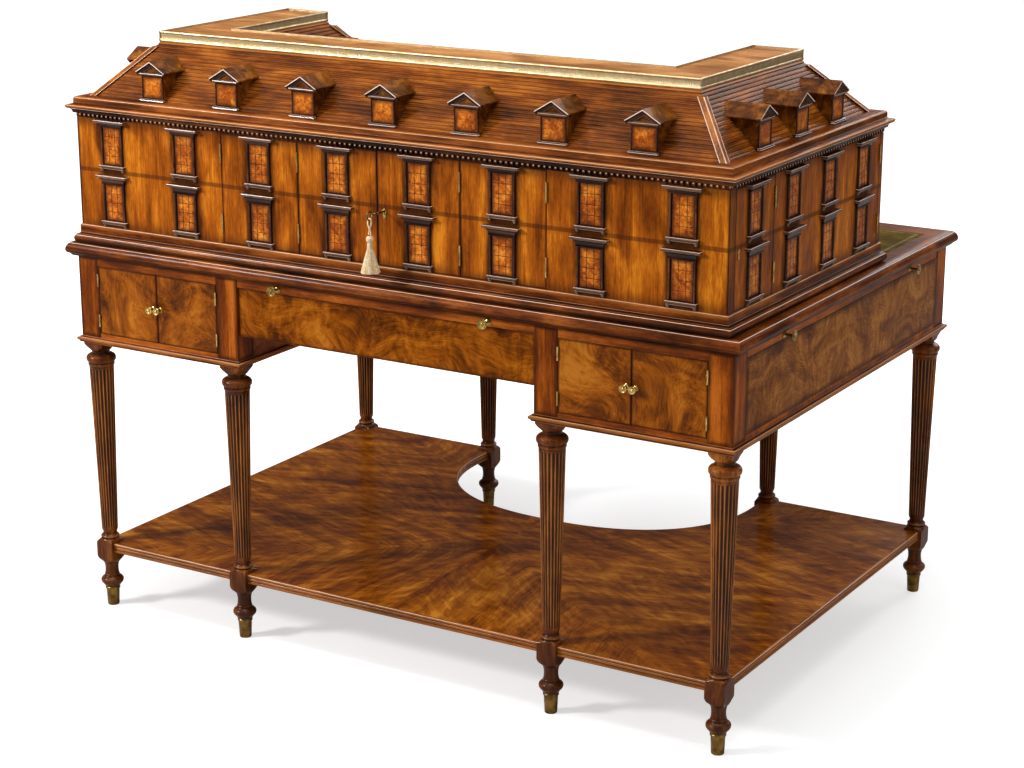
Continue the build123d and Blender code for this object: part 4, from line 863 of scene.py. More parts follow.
def leg_surface(around=160):
    """r(angle, z): a circle carved by FLUTES hollows, r = size * (1 - 0.09 * depth * hollow),
    where hollow = ((|cos(FLUTES * angle / 2)| - 0.3) / 0.7) ** 0.6, and 0 on the lands between.
    Blocks blend into a square by r = size / (1 - s + s * max(|cos|, |sin|)). The lands stand
    proud and the hollows low."""
    z, size, square, depth = leg_profile().T
    angle = np.linspace(0, 2 * pi, around, endpoint=False)
    hollow = np.clip((np.abs(np.cos(FLUTES * angle / 2)) - 0.3) / 0.7, 0, 1) ** 0.6
    reach = np.maximum(np.abs(np.cos(angle)), np.abs(np.sin(angle)))
    r = size[:, None] / (1 - square[:, None] * (1 - reach[None, :]))
    r = r * (1 - depth[:, None] * 0.09 * hollow[None, :])
    points = np.stack([r * np.cos(angle), r * np.sin(angle),
                       np.repeat(z[:, None], around, axis=1)], axis=2)
    # The flutes' low relief paints shade in them, and the lands' high relief gives them a painted
    # highlight.
    height = relief(np.column_stack([size, z]), 5.0)[:, None] * (1 - depth[:, None])
    height = height + depth[:, None] * (0.95 - 0.93 * hollow[None, :])
    return surface(points, close_cols=True, caps=True, height=height)


def on_legs(shell, sy):
    """The shell at the four legs of the front (sy = -1) or the sitter's side (sy = 1)."""
    return [place(shell, sx * x, sy * LEG_Y) for x in LEG_XS for sx in (-1, 1)]


leg = leg_surface()
piece("front_legs", on_legs(leg, -1), "desk", leg_wood, sharp=38)
piece("sitter_legs", on_legs(leg, 1), "desk", leg_wood, replaces=("legs",), sharp=38)
sabot = turned([(10.5, 0), (11.6, 0.5), (12.1, 1.6), (13.7, 35), (14.0, 35.8), (15.0, 36.4), (15.4, 38),
                (15.0, 39.8), (14.2, 40.6), (14.6, 41.4), (14.4, 42.2), (13.2, 42.3)], 40)
piece("brass_sabots", [*on_legs(sabot, -1), *on_legs(sabot, 1)], "desk", foot_brass,
      replaces=("sabots",))


# --- undershelf ----------------------------------------------------------------------------
def shelf_plan():
    """Counter-clockwise plan of the undershelf: a rectangle with the superellipse
    |x / 350| ** 2.3 + |(y - 420) / 300| ** 2.3 = 1 cut from the sitter's side."""
    x, y = LEG_XS[0] + 12.8, LEG_Y + 12.8
    t = np.linspace(0, pi, 61)
    cut_x = 350 * np.sign(np.cos(t)) * np.abs(np.cos(t)) ** (2 / 2.3)
    cut_y = 420 - 300 * np.abs(np.sin(t)) ** (2 / 2.3)
    cut = np.column_stack([cut_x, cut_y])
    return np.array([(-x, y), (-x, -y), (x, -y), (x, y), (350, y), *cut, (-350, y)])


def reeded_edge(z0, z1, reeds=3, depth=2.3):
    """Half-round reeds one above the other: out = depth * (sin a - 1) and z = the reed's foot
    + height * (1 - cos a) / 2, with a from 0 to 180 degrees over each reed."""
    height = (z1 - z0) / reeds
    rows = []
    for n in range(reeds):
        a = np.linspace(0.12, pi - 0.12, 7)
        out, z = depth * (np.sin(a) - 1), z0 + height * (n + 0.5 - 0.5 * np.cos(a))
        rows += list(zip(out, z))
    return rows


shelf_low = SHELF_TOP - SHELF_THICK
shelf_board = [(-5, shelf_low), (-4.2, shelf_low + 0.4), (-4.2, SHELF_TOP)]
piece("veneered_undershelf", [moulding(shelf_plan(), shelf_board)], "desk", shelf_wood,
      replaces=("undershelf",), sharp=50)
shelf_edge = [(-9, shelf_low), (-3, shelf_low), *reeded_edge(shelf_low + 0.4, 140.2),
              (-2.6, 140.8), (-3.4, 141), (-4.2, 140.8), (-9, 140.8)]
# Painted highlight lines along the reeds.
reed_highlights = [(-0.7, 127.2, 1.3), (-0.7, 133.4, 1.6), (-1.2, 139.4, 1.8)]
piece("reeded_shelf_edge", [moulding(shelf_plan(), shelf_edge, hollow=True, shine=reed_highlights)],
      "desk", moulding_wood, sharp=50)


# --- pedestals -----------------------------------------------------------------------------
def rectangle(x0, x1, y0, y1):
    """Counter-clockwise plan of a rectangle."""
    return np.array([(x0, y0), (x1, y0), (x1, y1), (x0, y1)], float)


base_profile = [(-6, 576), (1, 576), (3.2, 576.6), (4.2, 578.2), (4.4, 580), (6.4, 580.6), (7.6, 582.2),
                (8, 584.4), (7.6, 586.4), (6.4, 587.4), (2.2, 588), (1.0, 589), (0.6, 590), (-6, 590)]
pedestal_plan = rectangle(INNER_X, CASE[0], -CASE[1], CASE[1])
# A painted highlight line on the base moulding's bead.
base = moulding(pedestal_plan, base_profile, shine=((6.4, 587.4, 1.5),))
piece("pedestal_base_mouldings", both_sides([base]), "desk", moulding_wood,
      replaces=("base_mouldings",))

half_post = POST_SIZE / 2
post = board(-half_post, half_post, -half_post, half_post, CASE_BOTTOM, TOP_UNDERSIDE, 0.8)
piece("case_posts", [*on_legs(post, -1), *on_legs(post, 1)], "desk", post_wood,
      replaces=("posts",))

panel_y = LEG_Y - half_post
side_panel = board(CASE[0] - PANEL_THICK, CASE[0], -panel_y, panel_y, DOOR_BOTTOM, RAIL_Z, 0.5)
piece("side_frieze_panels", both_sides([side_panel]), "desk", side_panel_wood,
      replaces=("frieze_panels",))
apron = [board(-INNER_X, INNER_X, sy * APRON_FACE, sy * (APRON_FACE - PANEL_THICK), APRON_BOTTOM,
               RAIL_Z, 0.5) for sy in (-1, 1)]
piece("apron_panels", apron, "desk", panel_wood)

# --- desk top ------------------------------------------------------------------------------
top_profile = [(-22, 757), (-12, 757), (-10.4, 757.5), (-9, 759), (-7.4, 761.4), (-5.2, 763),
               (-2.4, 764.2), (-1.4, 765), (-0.9, 766.4), (-0.25, 768), (0, 769.8), (-0.15, 772),
               (-0.6, 774.4), (-1.5, 777), (-2.8, 779.4), (-4.4, 781.6), (-6.2, 783.4),
               (-8.2, 784.8), (-10.2, 785.6), (-11.6, 786), (-24, 786)]
top_plan = rectangle(-TOP[0], TOP[0], -TOP[1], TOP[1])
# A painted highlight line on the upper round of the edge, and painted shade on its lower part.
desk_top = moulding(top_plan, top_profile, shine=((-6.2, 783.4, 2.1),), shade=((757, 768, 0.3),))
piece("moulded_desk_top", [desk_top], "desk", moulding_wood,
      replaces=("desk_top",), sharp=45)


def gilt_band(outer, inner):
    """A gilt line pressed into the leather, from outer to inner millimetres within its edge."""
    low, high = TOP[2] + 0.35, TOP[2] + 0.5
    section = [(-outer, low), (-outer, high), (-inner, high), (-inner, low)]
    return moulding(leather_plan, section, hollow=True)


leather_inner, leather_x = COURT_X - 34, TOP[0] - 46
leather_near, leather_step, leather_far = COURT_Y + 34, CAB_END + 34, TOP[1] - 70
leather_plan = np.array([(-leather_inner, leather_near), (leather_inner, leather_near),
                         (leather_inner, leather_step), (leather_x, leather_step),
                         (leather_x, leather_far), (-leather_x, leather_far),
                         (-leather_x, leather_step), (-leather_inner, leather_step)])
leather_edge = [(0, 785.2), (0, 786.1), (-0.6, 786.4), (-1.5, 786.4)]
piece("writing_field", [moulding(leather_plan, leather_edge)], "desk", hide,
      replaces=("writing_leather",))
piece("gilt_line", [gilt_band(11, 13), gilt_band(15, 15.8)], "desk", gilt)

# --- cabinet: plinth, cornice, roof --------------------------------------------------------
u_plan = np.array([(-CAB_X, CAB_FRONT), (CAB_X, CAB_FRONT), (CAB_X, CAB_END), (COURT_X, CAB_END),
                   (COURT_X, COURT_Y), (-COURT_X, COURT_Y), (-COURT_X, CAB_END), (-CAB_X, CAB_END)])
plinth_profile = [(1, 786), (7, 786.3), *arc((3.4, 795.2), 9.6, -62, 58, 14), (8.2, 804.2), (6.0, 805.0),
                  (3.8, 805.3), (3.2, 806.2), (3, 807.6),
                  (3, 821.8), (2.4, 823.2), (1.2, 824), (-20, 824)]
# Painted highlight lines on the fascia's foot, the top arris and the torus, and painted shade under the
# torus and in the crease above it.
plinth = moulding(u_plan, plinth_profile, shine=((3, 807.6, 1.35), (2.4, 823.2, 1.6), (10.2, 802, 2.2)),
                  shade=((786, 793.5, 0.2), (804.9, 806.3, 0.1)))
piece("cabinet_plinth_moulding", [plinth], "desk", moulding_wood,
      replaces=("cabinet_plinth",), sharp=50)
cornice_profile = [(-12, 1040.5), (0, 1040.5), (0, 1048.5), (5.2, 1048.8), (5.4, 1049.6),
                   *arc((13.6, 1050), 7.8, 178, 92, 8), (14.6, 1058.2), (14.9, 1060.4), (16, 1061.2),
                   (16, 1064), (15.2, 1064.8), (6.4, 1066.6), (4.6, 1067.6), (4, 1069), (4, 1076),
                   (3.4, 1078.6), (1.8, 1080.4), (-0.8, 1081), (-30, 1081)]
# Painted highlight lines on the slab, the ovolo's lower arris and the top arris, painted shade over the
# dentils and in the crease, and a lighter fascia.
cornice = moulding(u_plan, cornice_profile,
                   shine=((16, 1064, 1.45), (14.6, 1058.2, 1.9), (3.4, 1078.6, 1.5)),
                   shade=((1040, 1056, 0.25), (1066, 1068, 0.3), (1068.5, 1077, 0.66)))
piece("cabinet_cornice", [cornice], "desk", moulding_wood,
      replaces=("cornice",), sharp=50)


def slope_inset(z):
    """How far the 45 degree slope lies behind the wall's face at a height."""
    return ROOF_INSET + ROOF_RUN * (z - ROOF_Z[0]) / (ROOF_Z[1] - ROOF_Z[0])


def lapped_courses(count=16, band=3.4, lap=1.9):
    """Roof boards lapped like reeds: each course climbs the 45 degree slope, set back by lap,
    and ends in a rounded nose."""
    rise, top = ROOF_Z[1] - band - ROOF_Z[0], ROOF_Z[1] - band
    rows = [(-slope_inset(ROOF_Z[0]), ROOF_Z[0])]
    for n in range(count):
        z0, z1 = ROOF_Z[0] + rise * n / count, ROOF_Z[0] + rise * (n + 1) / count
        low, high = slope_inset(z0), slope_inset(z1)
        rows += [(-low - lap, z0 + 0.3), (-low - lap - 2.2, z0 + 3.0), (-high - 0.9, z1 - 1.8),
                 (-high - 0.1, z1 - 1.0), (-high, z1 - 0.2)]
    deck = slope_inset(ROOF_Z[1])
    return [*rows, (-slope_inset(top), top), (-deck, ROOF_Z[1]), (-deck - 8, ROOF_Z[1])]


courses = lapped_courses()
# One painted highlight line on each course near its nose.
course_highlights = [(*courses[n], 1.3) for n in range(3, len(courses) - 4, 5)]
piece("lapped_mansard_roof", [moulding(u_plan, courses, shine=course_highlights)], "desk",
      roof_wood, replaces=("mansard_roof",), sharp=35)
deck_inset = ROOF_INSET + ROOF_RUN
deck_edge = [(-deck_inset - 2.6, ROOF_Z[1]), (-deck_inset - 2.6, DECK_TOP - 0.4),
             (-deck_inset - 3, DECK_TOP), (-deck_inset - 8, DECK_TOP)]
piece("deck_boards", [moulding(u_plan, deck_edge)], "desk", deck_wood,
      replaces=("roof_deck",))


def ribbed_band(inset, z0, z1, pitch=3.2):
    """The gallery's brass: a wall round the deck whose outer face is pressed into ribs,
    out = 0.45 * cos(2 pi s / pitch) along its length s, between a foot and a rolled lip."""
    outer = offset_plan(u_plan, -inset)
    inner = offset_plan(u_plan, -inset - 2.5)
    rows = [(z0, 0.4, 0), (z0 + 0.7, 1.2, 0), (z0 + 2.4, 1.6, 0), (z0 + 4.2, 1.2, 0),
            (z0 + 5, 0.2, 0), (z0 + 5.4, 0, 1), (z1 - 5.4, 0, 1), (z1 - 4.8, 0.1, 0),
            (z1 - 4.4, 1.0, 0), (z1 - 2.6, 1.6, 0), (z1 - 0.8, 1.2, 0), (z1, 0.2, 0)]
    shells = []
    for n in range(len(outer)):
        a, b = outer[n], outer[(n + 1) % len(outer)]
        c, d = inner[n], inner[(n + 1) % len(inner)]
        length = np.linalg.norm(b - a)
        steps = int(round(length / pitch)) * 4
        t = np.linspace(0, 1, steps + 1)
        wave = 0.45 * np.cos(2 * pi * t * steps / 4)
        normal = np.array([(b - a)[1], -(b - a)[0]]) / length
        base = a + t[:, None] * (b - a)
        grid = [np.column_stack([base + normal * (push + ribs * wave)[:, None]
                                 if ribs else base + normal * push, np.full(len(t), z)])
                for z, push, ribs in rows]
        back = c + t[:, None] * (d - c)
        grid += [np.column_stack([back, np.full(len(t), z)]) for z in (z1, z0)]
        points = np.array(grid)
        cols = points.shape[1]
        shell = surface(points, close_rows=True)
        shell["ends"] = [[r * cols for r in range(len(points))],
                         [r * cols + cols - 1 for r in range(len(points))]]
        shells.append(shell)
    return shells


piece("ribbed_gallery", ribbed_band(deck_inset, ROOF_Z[1], GALLERY_TOP), "desk", gallery_brass,
      replaces=("gallery",), sharp=60)
pin = turned([(1.6, ROOF_Z[1]), (2.1, ROOF_Z[1] + 0.8), (2.1, ROOF_Z[1] + 4.6), (1.4, ROOF_Z[1] + 5.4),
              (1.4, GALLERY_TOP - 5), (2.1, GALLERY_TOP - 4.2), (2.1, GALLERY_TOP - 0.8),
              (1.4, GALLERY_TOP)], 12)
piece("gallery_pins", [place(pin, x, y) for x, y in offset_plan(u_plan, -deck_inset + 0.6)],
      "desk", gallery_brass)


def hip_strip(x, y, sx, sy, arm=13.0, thick=3.0):
    """An angle board up one hip: its section, with a bead on the arris and one along each
    free edge, moves from the (x, y) corner inwards along (sx, sy) as the roof climbs."""
    section = np.array([(0.3, 2.6), (-0.6, 1.6), (-0.8, -0.8), (1.6, -0.6), (2.6, 0.3),
                        (arm - 2.2, 0.3), (arm - 1.7, -0.5), (arm - 0.5, -0.5), (arm, 0.4),
                        (arm, thick), (thick, thick), (thick, arm), (0.4, arm),
                        (-0.5, arm - 0.5), (-0.5, arm - 1.7), (0.3, arm - 2.2)])
    # Values above 1 draw painted highlight lines on the beads; low values paint shade on the faces
    # against the roof.
    proud = np.array([0.55, 0.9, 1.5, 0.9, 0.55, 0.55, 1.4, 1.4, 0.5, 0.2, 0.2, 0.2, 0.5, 1.4,
                      1.4, 0.55])
    rows = []
    for z in np.linspace(ROOF_Z[0], ROOF_Z[1] - 9, 9):
        inset = slope_inset(z) - thick
        rows.append(np.column_stack([x + sx * (inset + section[:, 0]), y + sy * (inset + section[:, 1]),
                                     np.full(len(section), z)]))
    height = np.tile(proud, (len(rows), 1))
    return surface(np.array(rows), close_cols=True, caps=True, height=height)


hips = [hip_strip(CAB_X, CAB_FRONT, -1, 1), hip_strip(CAB_X, CAB_END, -1, -1),
        hip_strip(COURT_X, CAB_END, 1, -1)]
piece("hip_angle_boards", both_sides(hips), "desk", hip_wood,
      replaces=("hip_boards",), sharp=50)


# --- windows -------------------------------------------------------------------------------
HALF_FRAME, JAMB = 27.0, 4.0


def return_moulding(rows, half=HALF_FRAME, depth=JAMB, shine=(), shade=()):
    """A moulding with mitred returns on a wall at y = 0 that faces -y: rows of (out along x,
    out along y, z) from the frame's own face, closed against the wall."""
    rows, height = relief_with_painted_light(rows, shine, shade)
    rings = [[(-half - a, 0, z), (-half - a, -depth - b, z), (half + a, -depth - b, z),
              (half + a, 0, z)] for a, b, z in rows]
    return surface(np.array(rings, float), close_cols=True, caps=True, height=height)


def half_round(x, half, out, z0, z1):
    """An upright bead on a wall at y = 0 that faces -y: (x - half cos a, -out sin a) for a from
    0 to 180 degrees, proud along its crown."""
    a = np.linspace(0, pi, 11)
    section = np.column_stack([x - half * np.cos(a), -out * np.sin(a)])
    rings = np.array([np.column_stack([section, np.full(len(a), z)]) for z in (z0, z1)])
    # The relief paints shade at the bead's feet and lightens its crown.
    return surface(rings, close_cols=True, caps=True, height=np.tile(0.7 * np.sin(a) ** 2, (2, 1)))


def window_frame(pane, hood_top):
    """The dark surround of one window: jambs, a hood on a cove, a sill and its brackets."""
    sill, head = pane
    shells = [half_round(sx * 24.6, 2.5, JAMB, sill - 0.5, head + 1) for sx in (-1, 1)]
    rise = hood_top - head
    cove = [(9.2 * (1 - np.cos(a)), 6.4 * (1 - np.cos(a)), head + (rise - 6) * np.sin(a))
            for a in np.linspace(0.0, pi / 2, 6)]
    hood = [(0.2, 0.2, head), (1.2, 1.2, head + 0.6), (1.2, 1.2, head + 1.6), *cove[1:],
            (9.4, 6.4, hood_top - 5.8), (10.2, 7.2, hood_top - 5.2), (10.9, 7.9, hood_top - 4.2),
            (11, 8, hood_top - 2.6), (10.4, 7.4, hood_top - 1.0), (9.2, 6.2, hood_top)]
    # Painted highlight lines on the hood's top and its lower arris, and painted shade at its foot.
    shells.append(return_moulding(hood, shade=((head, head + 2, 0.3),),
                                  shine=((7.4, hood_top - 1, 1.8), (6.4, hood_top - 5.8, 1.4))))
    slab = [(2.4, 2.4, sill - 4.5), (3.3, 3.4, sill - 4.1), (4, 4, sill - 3), (4, 4, sill - 1.4),
            (3.3, 3.4, sill - 0.4), (2.2, 2.4, sill)]
    # A painted highlight line on the sill's nose.
    shells.append(return_moulding(slab, shine=((3.4, sill - 0.4, 1.9),)))
    bed = [(-2.6, -1.4, sill - 8.4), (-1.6, 0, sill - 8), (-1.2, 0.8, sill - 6.6),
           (-1.2, 0.8, sill - 5.6), (-2, 0, sill - 4.6)]
    # A painted highlight line on the bed moulding.
    shells.append(return_moulding(bed, shine=((0.8, sill - 6.6, 1.3),)))
    for sx in (-1, 1):
        ends = [board(sx * 23, sx * 29, -6.4, 0.2, sill - 8.8, sill - 4.4, 1.2),
                board(sx * 23.4, sx * 28.6, -4.4, 0.2, sill - 12.5, sill - 8.6, 1.2)]
        # Relief 1.12 gives the bracket ends a faint painted highlight.
        shells += [{**end, "relief": np.full(len(end["points"]), 1.12)} for end in ends]
    return shells


def window_pane(pane):
    """The burl panel of one window."""
    sill, head = pane
    return [board(-22.2, 22.2, -1.2, 0.2, sill, head + 0.6, 0.3)]


def window_bars(pane, columns=3, rows=4):
    """Dark lines that divide a pane into columns and rows."""
    sill, head = pane
    shells = []
    for n in range(1, columns):
        x = -22 + 44 * n / columns
        shells.append(board(x - 0.5, x + 0.5, -1.5, -1.0, sill + 1, head - 0.5, 0.1))
    for n in range(1, rows):
        z = sill + (head - sill) * n / rows
        shells.append(board(-21.5, 21.5, -1.45, -1.0, z - 0.5, z + 0.5, 0.1))
    return shells


STOREYS = ((UPPER_PANE, WALL_Z[1] - 0.5), (LOWER_PANE, 930.5))


def windows(label, spots, body, replaces=()):
    """Frames, panes and bars of both storeys at (x, y, turn) spots, riding on one body."""
    parts = {"frames": [], "panes": [], "bars": []}
    for x, y, turn in spots:
        for pane, hood in STOREYS:
            for key, shells in (("frames", window_frame(pane, hood)), ("panes", window_pane(pane)),
                                ("bars", window_bars(pane))):
                parts[key] += [place(shell, x, y, turn) for shell in shells]
    piece(f"{label}_window_frames", parts["frames"], body, frame_wood,
          replaces=replaces)
    piece(f"{label}_window_panes", parts["panes"], body, pane_burl)
    piece(f"{label}_window_bars", parts["bars"], body, bar_wood)


windows("facade", [(sx * x, CAB_FRONT, 0) for sx in (-1, 1) for x in FACADE_COLUMNS[2:]], "desk",
        ("fixed_windows",))
windows("side", [(sx * CAB_X, y, sx * 90) for sx in (-1, 1) for y in SIDE_COLUMNS[1:]], "desk")
windows("court", [*[(sx * x, COURT_Y, 180) for sx in (-1, 1) for x in FACADE_COLUMNS[:2]],
                  *[(sx * COURT_X, y, -sx * 90) for sx in (-1, 1) for y in COURT_COLUMNS]], "desk")

LEAF_THICK = 18.0
for side, sx in (("right", 1), ("left", -1)):
    for fold, x0, x1, column in (("inner", 0.8, 179.6, 90), ("outer", 180.4, 360.2, 270)):
        leaf = board(sx * x0, sx * x1, CAB_FRONT, CAB_FRONT + LEAF_THICK, *LEAF_Z, 0.8)
        body = f"facade_{side}_{fold}"
        piece(f"{body}_veneered_leaf", [leaf], body, leaf_wood,
              replaces=(f"{body}_leaf",))
        windows(body, [(sx * column, CAB_FRONT, 0)], body)
    door = board(sx * 703, sx * CAB_X, CAB_FRONT + 21.6, SIDE_SEAM, *LEAF_Z, 0.8)
    piece(f"{side}_side_door_board", [door], f"side_door_{side}", leaf_wood,
          replaces=(f"side_door_{side}",))
    windows(f"{side}_side_door", [(sx * CAB_X, SIDE_COLUMNS[0], sx * 90)], f"side_door_{side}")
    door = board(sx * 375, sx * CAB_X, CAB_END - 17.4, CAB_END, *LEAF_Z, 0.8)
    piece(f"{side}_wing_door_board", [door], f"wing_door_{side}", leaf_wood,
          replaces=(f"wing_door_{side}",))
    windows(f"{side}_wing_door", [(sx * x, CAB_END, 180) for x in END_COLUMNS], f"wing_door_{side}")
    for fold, x0, x1 in (("inner", 385.8, 533.7), ("outer", 535.3, 683.2)):
        body = f"pedestal_door_{side}_{fold}"
        leaf = board(sx * x0, sx * x1, -CASE[1], -CASE[1] + LEAF_THICK, DOOR_BOTTOM + 0.8,
                     RAIL_Z - 0.8, 0.8)
        piece(f"{body}_flame_leaf", [leaf], body, door_wood, replaces=(body,))


# --- key and tassel ------------------------------------------------------------------------
def along_y(shell, x, y, z):
    """A turned shell laid down: its axis runs towards -y from (x, y, z)."""
    p = shell["points"]
    return {**shell, "points": np.column_stack([p[:, 0] + x, y - p[:, 2], p[:, 1] + z])}


def bow_ring(wire=1.3, around=64):
    """The key's bow, a wire round r(t) = 8.15 + 0.65 cos(3 t) in the plane across the leaf,
    with t = 0 at its foot, where the cord hangs."""
    t = np.linspace(0, 2 * pi, around, endpoint=False)
    a = np.linspace(0, 2 * pi, 10, endpoint=False)
    r = 8.15 + 0.65 * np.cos(3 * t)
    reach = r[:, None] + wire * np.cos(a)[None, :]
    points = np.stack([np.tile(wire * np.sin(a), (around, 1)) + KEY_X,
                       BOW_Y + reach * np.sin(t)[:, None],
                       KEY_Z - reach * np.cos(t)[:, None]], axis=2)
    return surface(points, close_rows=True, close_cols=True)


# the shank starts in the lock, 6 mm behind the leaf, and ends in the bow
key_start = CAB_FRONT + LEAF_THICK + 6
key_end = BOW_Y + BOW_RADIUS - 1.6
key_run = key_start - key_end
shank = turned([(1.2, 0), (1.8, 0.6), (1.8, key_run - 22), (2.6, key_run - 21),
                (2.6, key_run - 19.4), (1.8, key_run - 18.6), (1.7, key_run - 12),
                (2.7, key_run - 11), (3.2, key_run - 9.6), (2.7, key_run - 8.2),
                (1.8, key_run - 7.4), (2.0, key_run - 3), (3, key_run - 1.8), (1.2, key_run)], 20)
piece("key_shank_and_bow", [along_y(shank, KEY_X, key_start, KEY_Z), bow_ring()], "key",
      key_brass, replaces=("key",))


def tassel_shells(threads=46, around=230):
    """Head, bound neck and skirt as r(angle, z) = size * (1 - depth * (1 - ridge)), where ridge
    = |cos(threads * angle / 2)| * (0.75 + 0.25 * cos(7 * angle)), twisted round the head. The
    skirt's foot ends unevenly, by two sines of the angle."""
    ball = [(7 * np.sin(a), -8 + 7 * np.cos(a), 0.05, 2.6) for a in np.linspace(0.5, 2.45, 12)]
    turns = [(5.3 if n % 2 else 4.9, -15.9 - 0.8 * n, 0, 0) for n in range(10)]
    neck = [(4.1, -15.2, 0.02, 0), *turns, (4.9, -23.9, 0.02, 0), (5.4, -25.6, 0.05, 0)]
    drop = np.linspace(-27.5, -70.6, 16)
    flare = 5.9 + 12.6 * ((-27.5 - drop) / 43.1) ** 0.92
    skirt = [(r, z, 0.09, 0) for r, z in zip(flare, drop)]
    foot = [(flare[-1] * 0.9, -70.4, 0.09, 0), (4, -66, 0.0, 0)]
    r, z, depth, twist = np.array([(3.6, -1.6, 0.02, 2.6), *ball, *neck, *skirt, *foot]).T
    angle = np.linspace(0, 2 * pi, around, endpoint=False)
    turn = angle[None, :] + (twist * (z + 8) / 14)[:, None]
    ridge = np.abs(np.cos(threads * turn / 2)) * (0.75 + 0.25 * np.cos(7 * turn + 1.3))
    reach = r[:, None] * (1 - depth[:, None] * (1 - ridge))
    low = (z < -60)[:, None] * (0.9 * np.sin(9 * angle + 0.5) + 0.7 * np.sin(31 * angle))[None, :]
    points = np.stack([KEY_X + reach * np.cos(angle), BOW_Y + reach * np.sin(angle),
                       HEAD_TOP + z[:, None] + np.abs(low)], axis=2)
    bound = relief(np.column_stack([r, -z])[:26], 2.0)
    rows = np.concatenate([bound, np.full(len(r) - 26, 0.6)])
    # The ridges' relief gives the silk painted shade between the threads.
    height = np.where(depth[:, None] > 0.01, ridge, np.clip(rows, 0.2, 1)[:, None] * np.ones(around))
    return surface(points, close_cols=True, caps=True, height=height)


piece("silk_tassel", [tassel_shells()], "tassel", silk_thread, replaces=("tassel",), sharp=60)


# --- dormers -------------------------------------------------------------------------------
def gable_prism(corners, y_front, y_back=None):
    """A prism along y over an (x, z) outline; without y_back it runs back to the slope."""
    corners = np.array(corners, float)
    front = np.column_stack([corners[:, 0], np.full(len(corners), y_front), corners[:, 1]])
    back_y = slope_inset(corners[:, 1]) + 3 if y_back is None else np.full(len(corners), y_back)
    back = np.column_stack([corners[:, 0], back_y, corners[:, 1]])
    return surface(np.array([front, back]), close_cols=True, caps=True)


def raking_moulding(profile, heights, half, line, slope):
    """A moulding up both rakes of a gable: each (drop, y) point of its closed profile lies at
    z = line - drop - slope * |x|, for x from -half over the apex to half."""
    drop, y = np.array(profile, float).T
    rings = [np.column_stack([np.full(len(drop), x), y, line - drop - slope * abs(x)])
             for x in (-half, 0, half)]
    return surface(np.array(rings), close_cols=True, caps=True, height=np.tile(heights, (3, 1)))


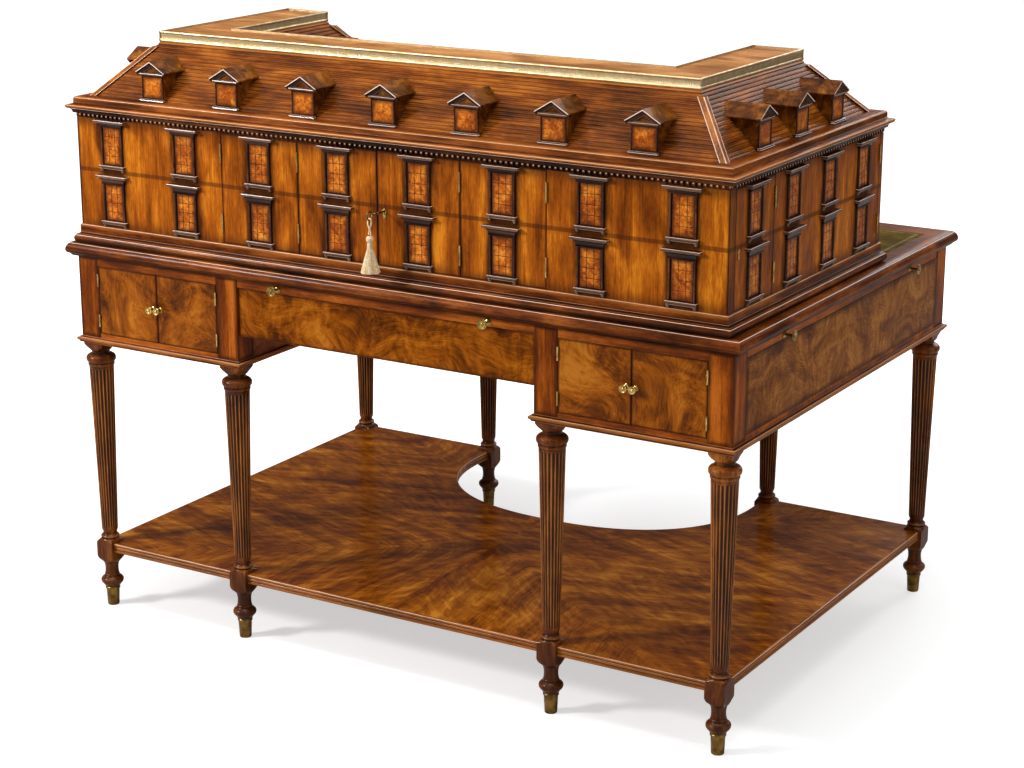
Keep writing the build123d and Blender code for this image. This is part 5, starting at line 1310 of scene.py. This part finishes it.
def dormer_parts():
    """One dormer on a wall at y = 0 that faces -y: body, mouldings, burl front and tiles."""
    low, eaves, apex, front, half = ROOF_Z[0], 1139.5, 1155.0, ROOF_INSET, 26
    slope = (apex - eaves) / half
    outline = [(-half, low + 5), (half, low + 5), (half, eaves), (0, apex), (-half, eaves)]
    body = [gable_prism(outline, front)]
    trim = [half_round(sx * 24.7, 1.7, 1.8, low + 6, 1131) for sx in (-1, 1)]
    lintel = [(0, 1.4, 1129.4), (0.4, 1.8, 1130.4), (1.2, 2.6, 1131), (2.6, 4.2, 1132),
              (3.4, 5.6, 1133.2), (3.4, 5.9, 1134.6), (2.8, 5.4, 1135.8), (1.6, 4, 1136.2)]
    # A painted highlight line on the lintel's nose.
    trim.append(return_moulding(lintel, half, 0, shine=((5.4, 1135.8, 1.6),)))
    sill = [(1.2, 4.5, low), (2.8, 7, low + 0.4), (3.2, 7.6, low + 1.8), (2.8, 7, low + 3.2),
            (1, 5, low + 3.8), (1.4, 5.2, low + 4.4), (2, 6, low + 5.2), (1, 4.6, low + 6.2)]
    # Painted highlight lines on the sill's two noses.
    trim.append(return_moulding(sill, half, 0, shine=((7, low + 3.2, 2.2), (6, low + 5.2, 1.7))))
    trim = [place(shell, 0, front) for shell in trim]
    trim.append(board(-27.6, 27.6, front - 1, front + 10, low, low + 5.6, 0.4))
    rake = [(0, front - 8.4), (1.6, front - 8.4), (2.2, front - 7.6), (3.4, front - 7),
            (4.4, front - 5.2), (5.4, front - 5), (6.2, front - 3.2), (7.4, front - 3),
            (8, front - 1.4), (8, front + 3), (0, front + 3)]
    # Values above 1 draw painted highlight lines on the rake's front arris; low values paint shade in
    # its hollows.
    proud = [1.4, 2, 0.3, 0.1, 0.1, 0.9, 0.2, 0.9, 0.2, 0.1, 0.3]
    trim.append(raking_moulding(rake, proud, 34.6, apex + 4.6, slope))
    gable = np.array([(-23, 1136.4), (23, 1136.4), (0, 1136.4 + 23 * slope)])
    inner = moulding(gable, [(0, 0), (0, 2.6), (-1, 2.8), (-1.8, 1.6), (-2, 0)], hollow=True)
    points = inner["points"]
    inner = {**inner, "points": np.column_stack([points[:, 0], front - points[:, 2], points[:, 1]])}
    pane = [board(-24.4, 24.4, front - 0.6, front + 1, low + 5.8, 1130, 0.2)]
    tile = [gable_prism([(0, apex + 2.8), (sx * 35, apex + 2.8 - 35 * slope),
                         (sx * 35, apex + 5 - 35 * slope), (0, apex + 5)], front - 8)
            for sx in (-1, 1)]
    return body, [*trim, inner], pane, tile


dormer_spots = [
    *[(BAY * n, CAB_FRONT, 0) for n in range(-3, 4)],
    *[(sx * CAB_X, (SIDE_COLUMNS[0] + SIDE_COLUMNS[-1]) / 2 + SIDE_BAY * n, sx * 90)
      for sx in (-1, 1) for n in (-1, 0, 1)],
    *[(sx * (COURT_X + CAB_X) / 2, CAB_END, 180) for sx in (-1, 1)],
    *[(BAY * n, COURT_Y, 180) for n in (-1, 0, 1)],
    *[(sx * COURT_X, (COURT_Y + CAB_END) / 2, -sx * 90) for sx in (-1, 1)],
]


def on_dormers(shells):
    """The shells repeated at every dormer."""
    return [place(shell, *spot) for spot in dormer_spots for shell in shells]


d_body, d_trim, d_pane, d_tile = dormer_parts()
piece("dormer_bodies", on_dormers(d_body), "desk", cheek_wood, replaces=("dormers",))
piece("dormer_mouldings", on_dormers(d_trim), "desk", frame_wood)
piece("dormer_panes", on_dormers(d_pane), "desk", pane_burl)
piece("dormer_roofs", on_dormers(d_tile), "desk", cheek_wood)

# --- finishes of the pieces kept from the frame --------------------------------------------
KEPT = {
    "pedestal_cases": rail_wood, "kneehole_frame": rail_wood, "cabinet_walls": wall_wood,
    "cabinet_partitions": case_wood, "dentil_course": dentil_wood,
    "slide_centre": rail_wood, "slide_right": rail_wood_y, "slide_left": rail_wood_y,
    "drawer_right": drawer_wood, "drawer_left": drawer_wood, "lock_bolt": steel,
}
for name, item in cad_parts.items():
    if item.hide_render:
        continue
    fitting_brass = knob_brass if name.endswith("knobs") else bright_brass
    item.data.materials.clear()
    item.data.materials.append(KEPT.get(name, fitting_brass))
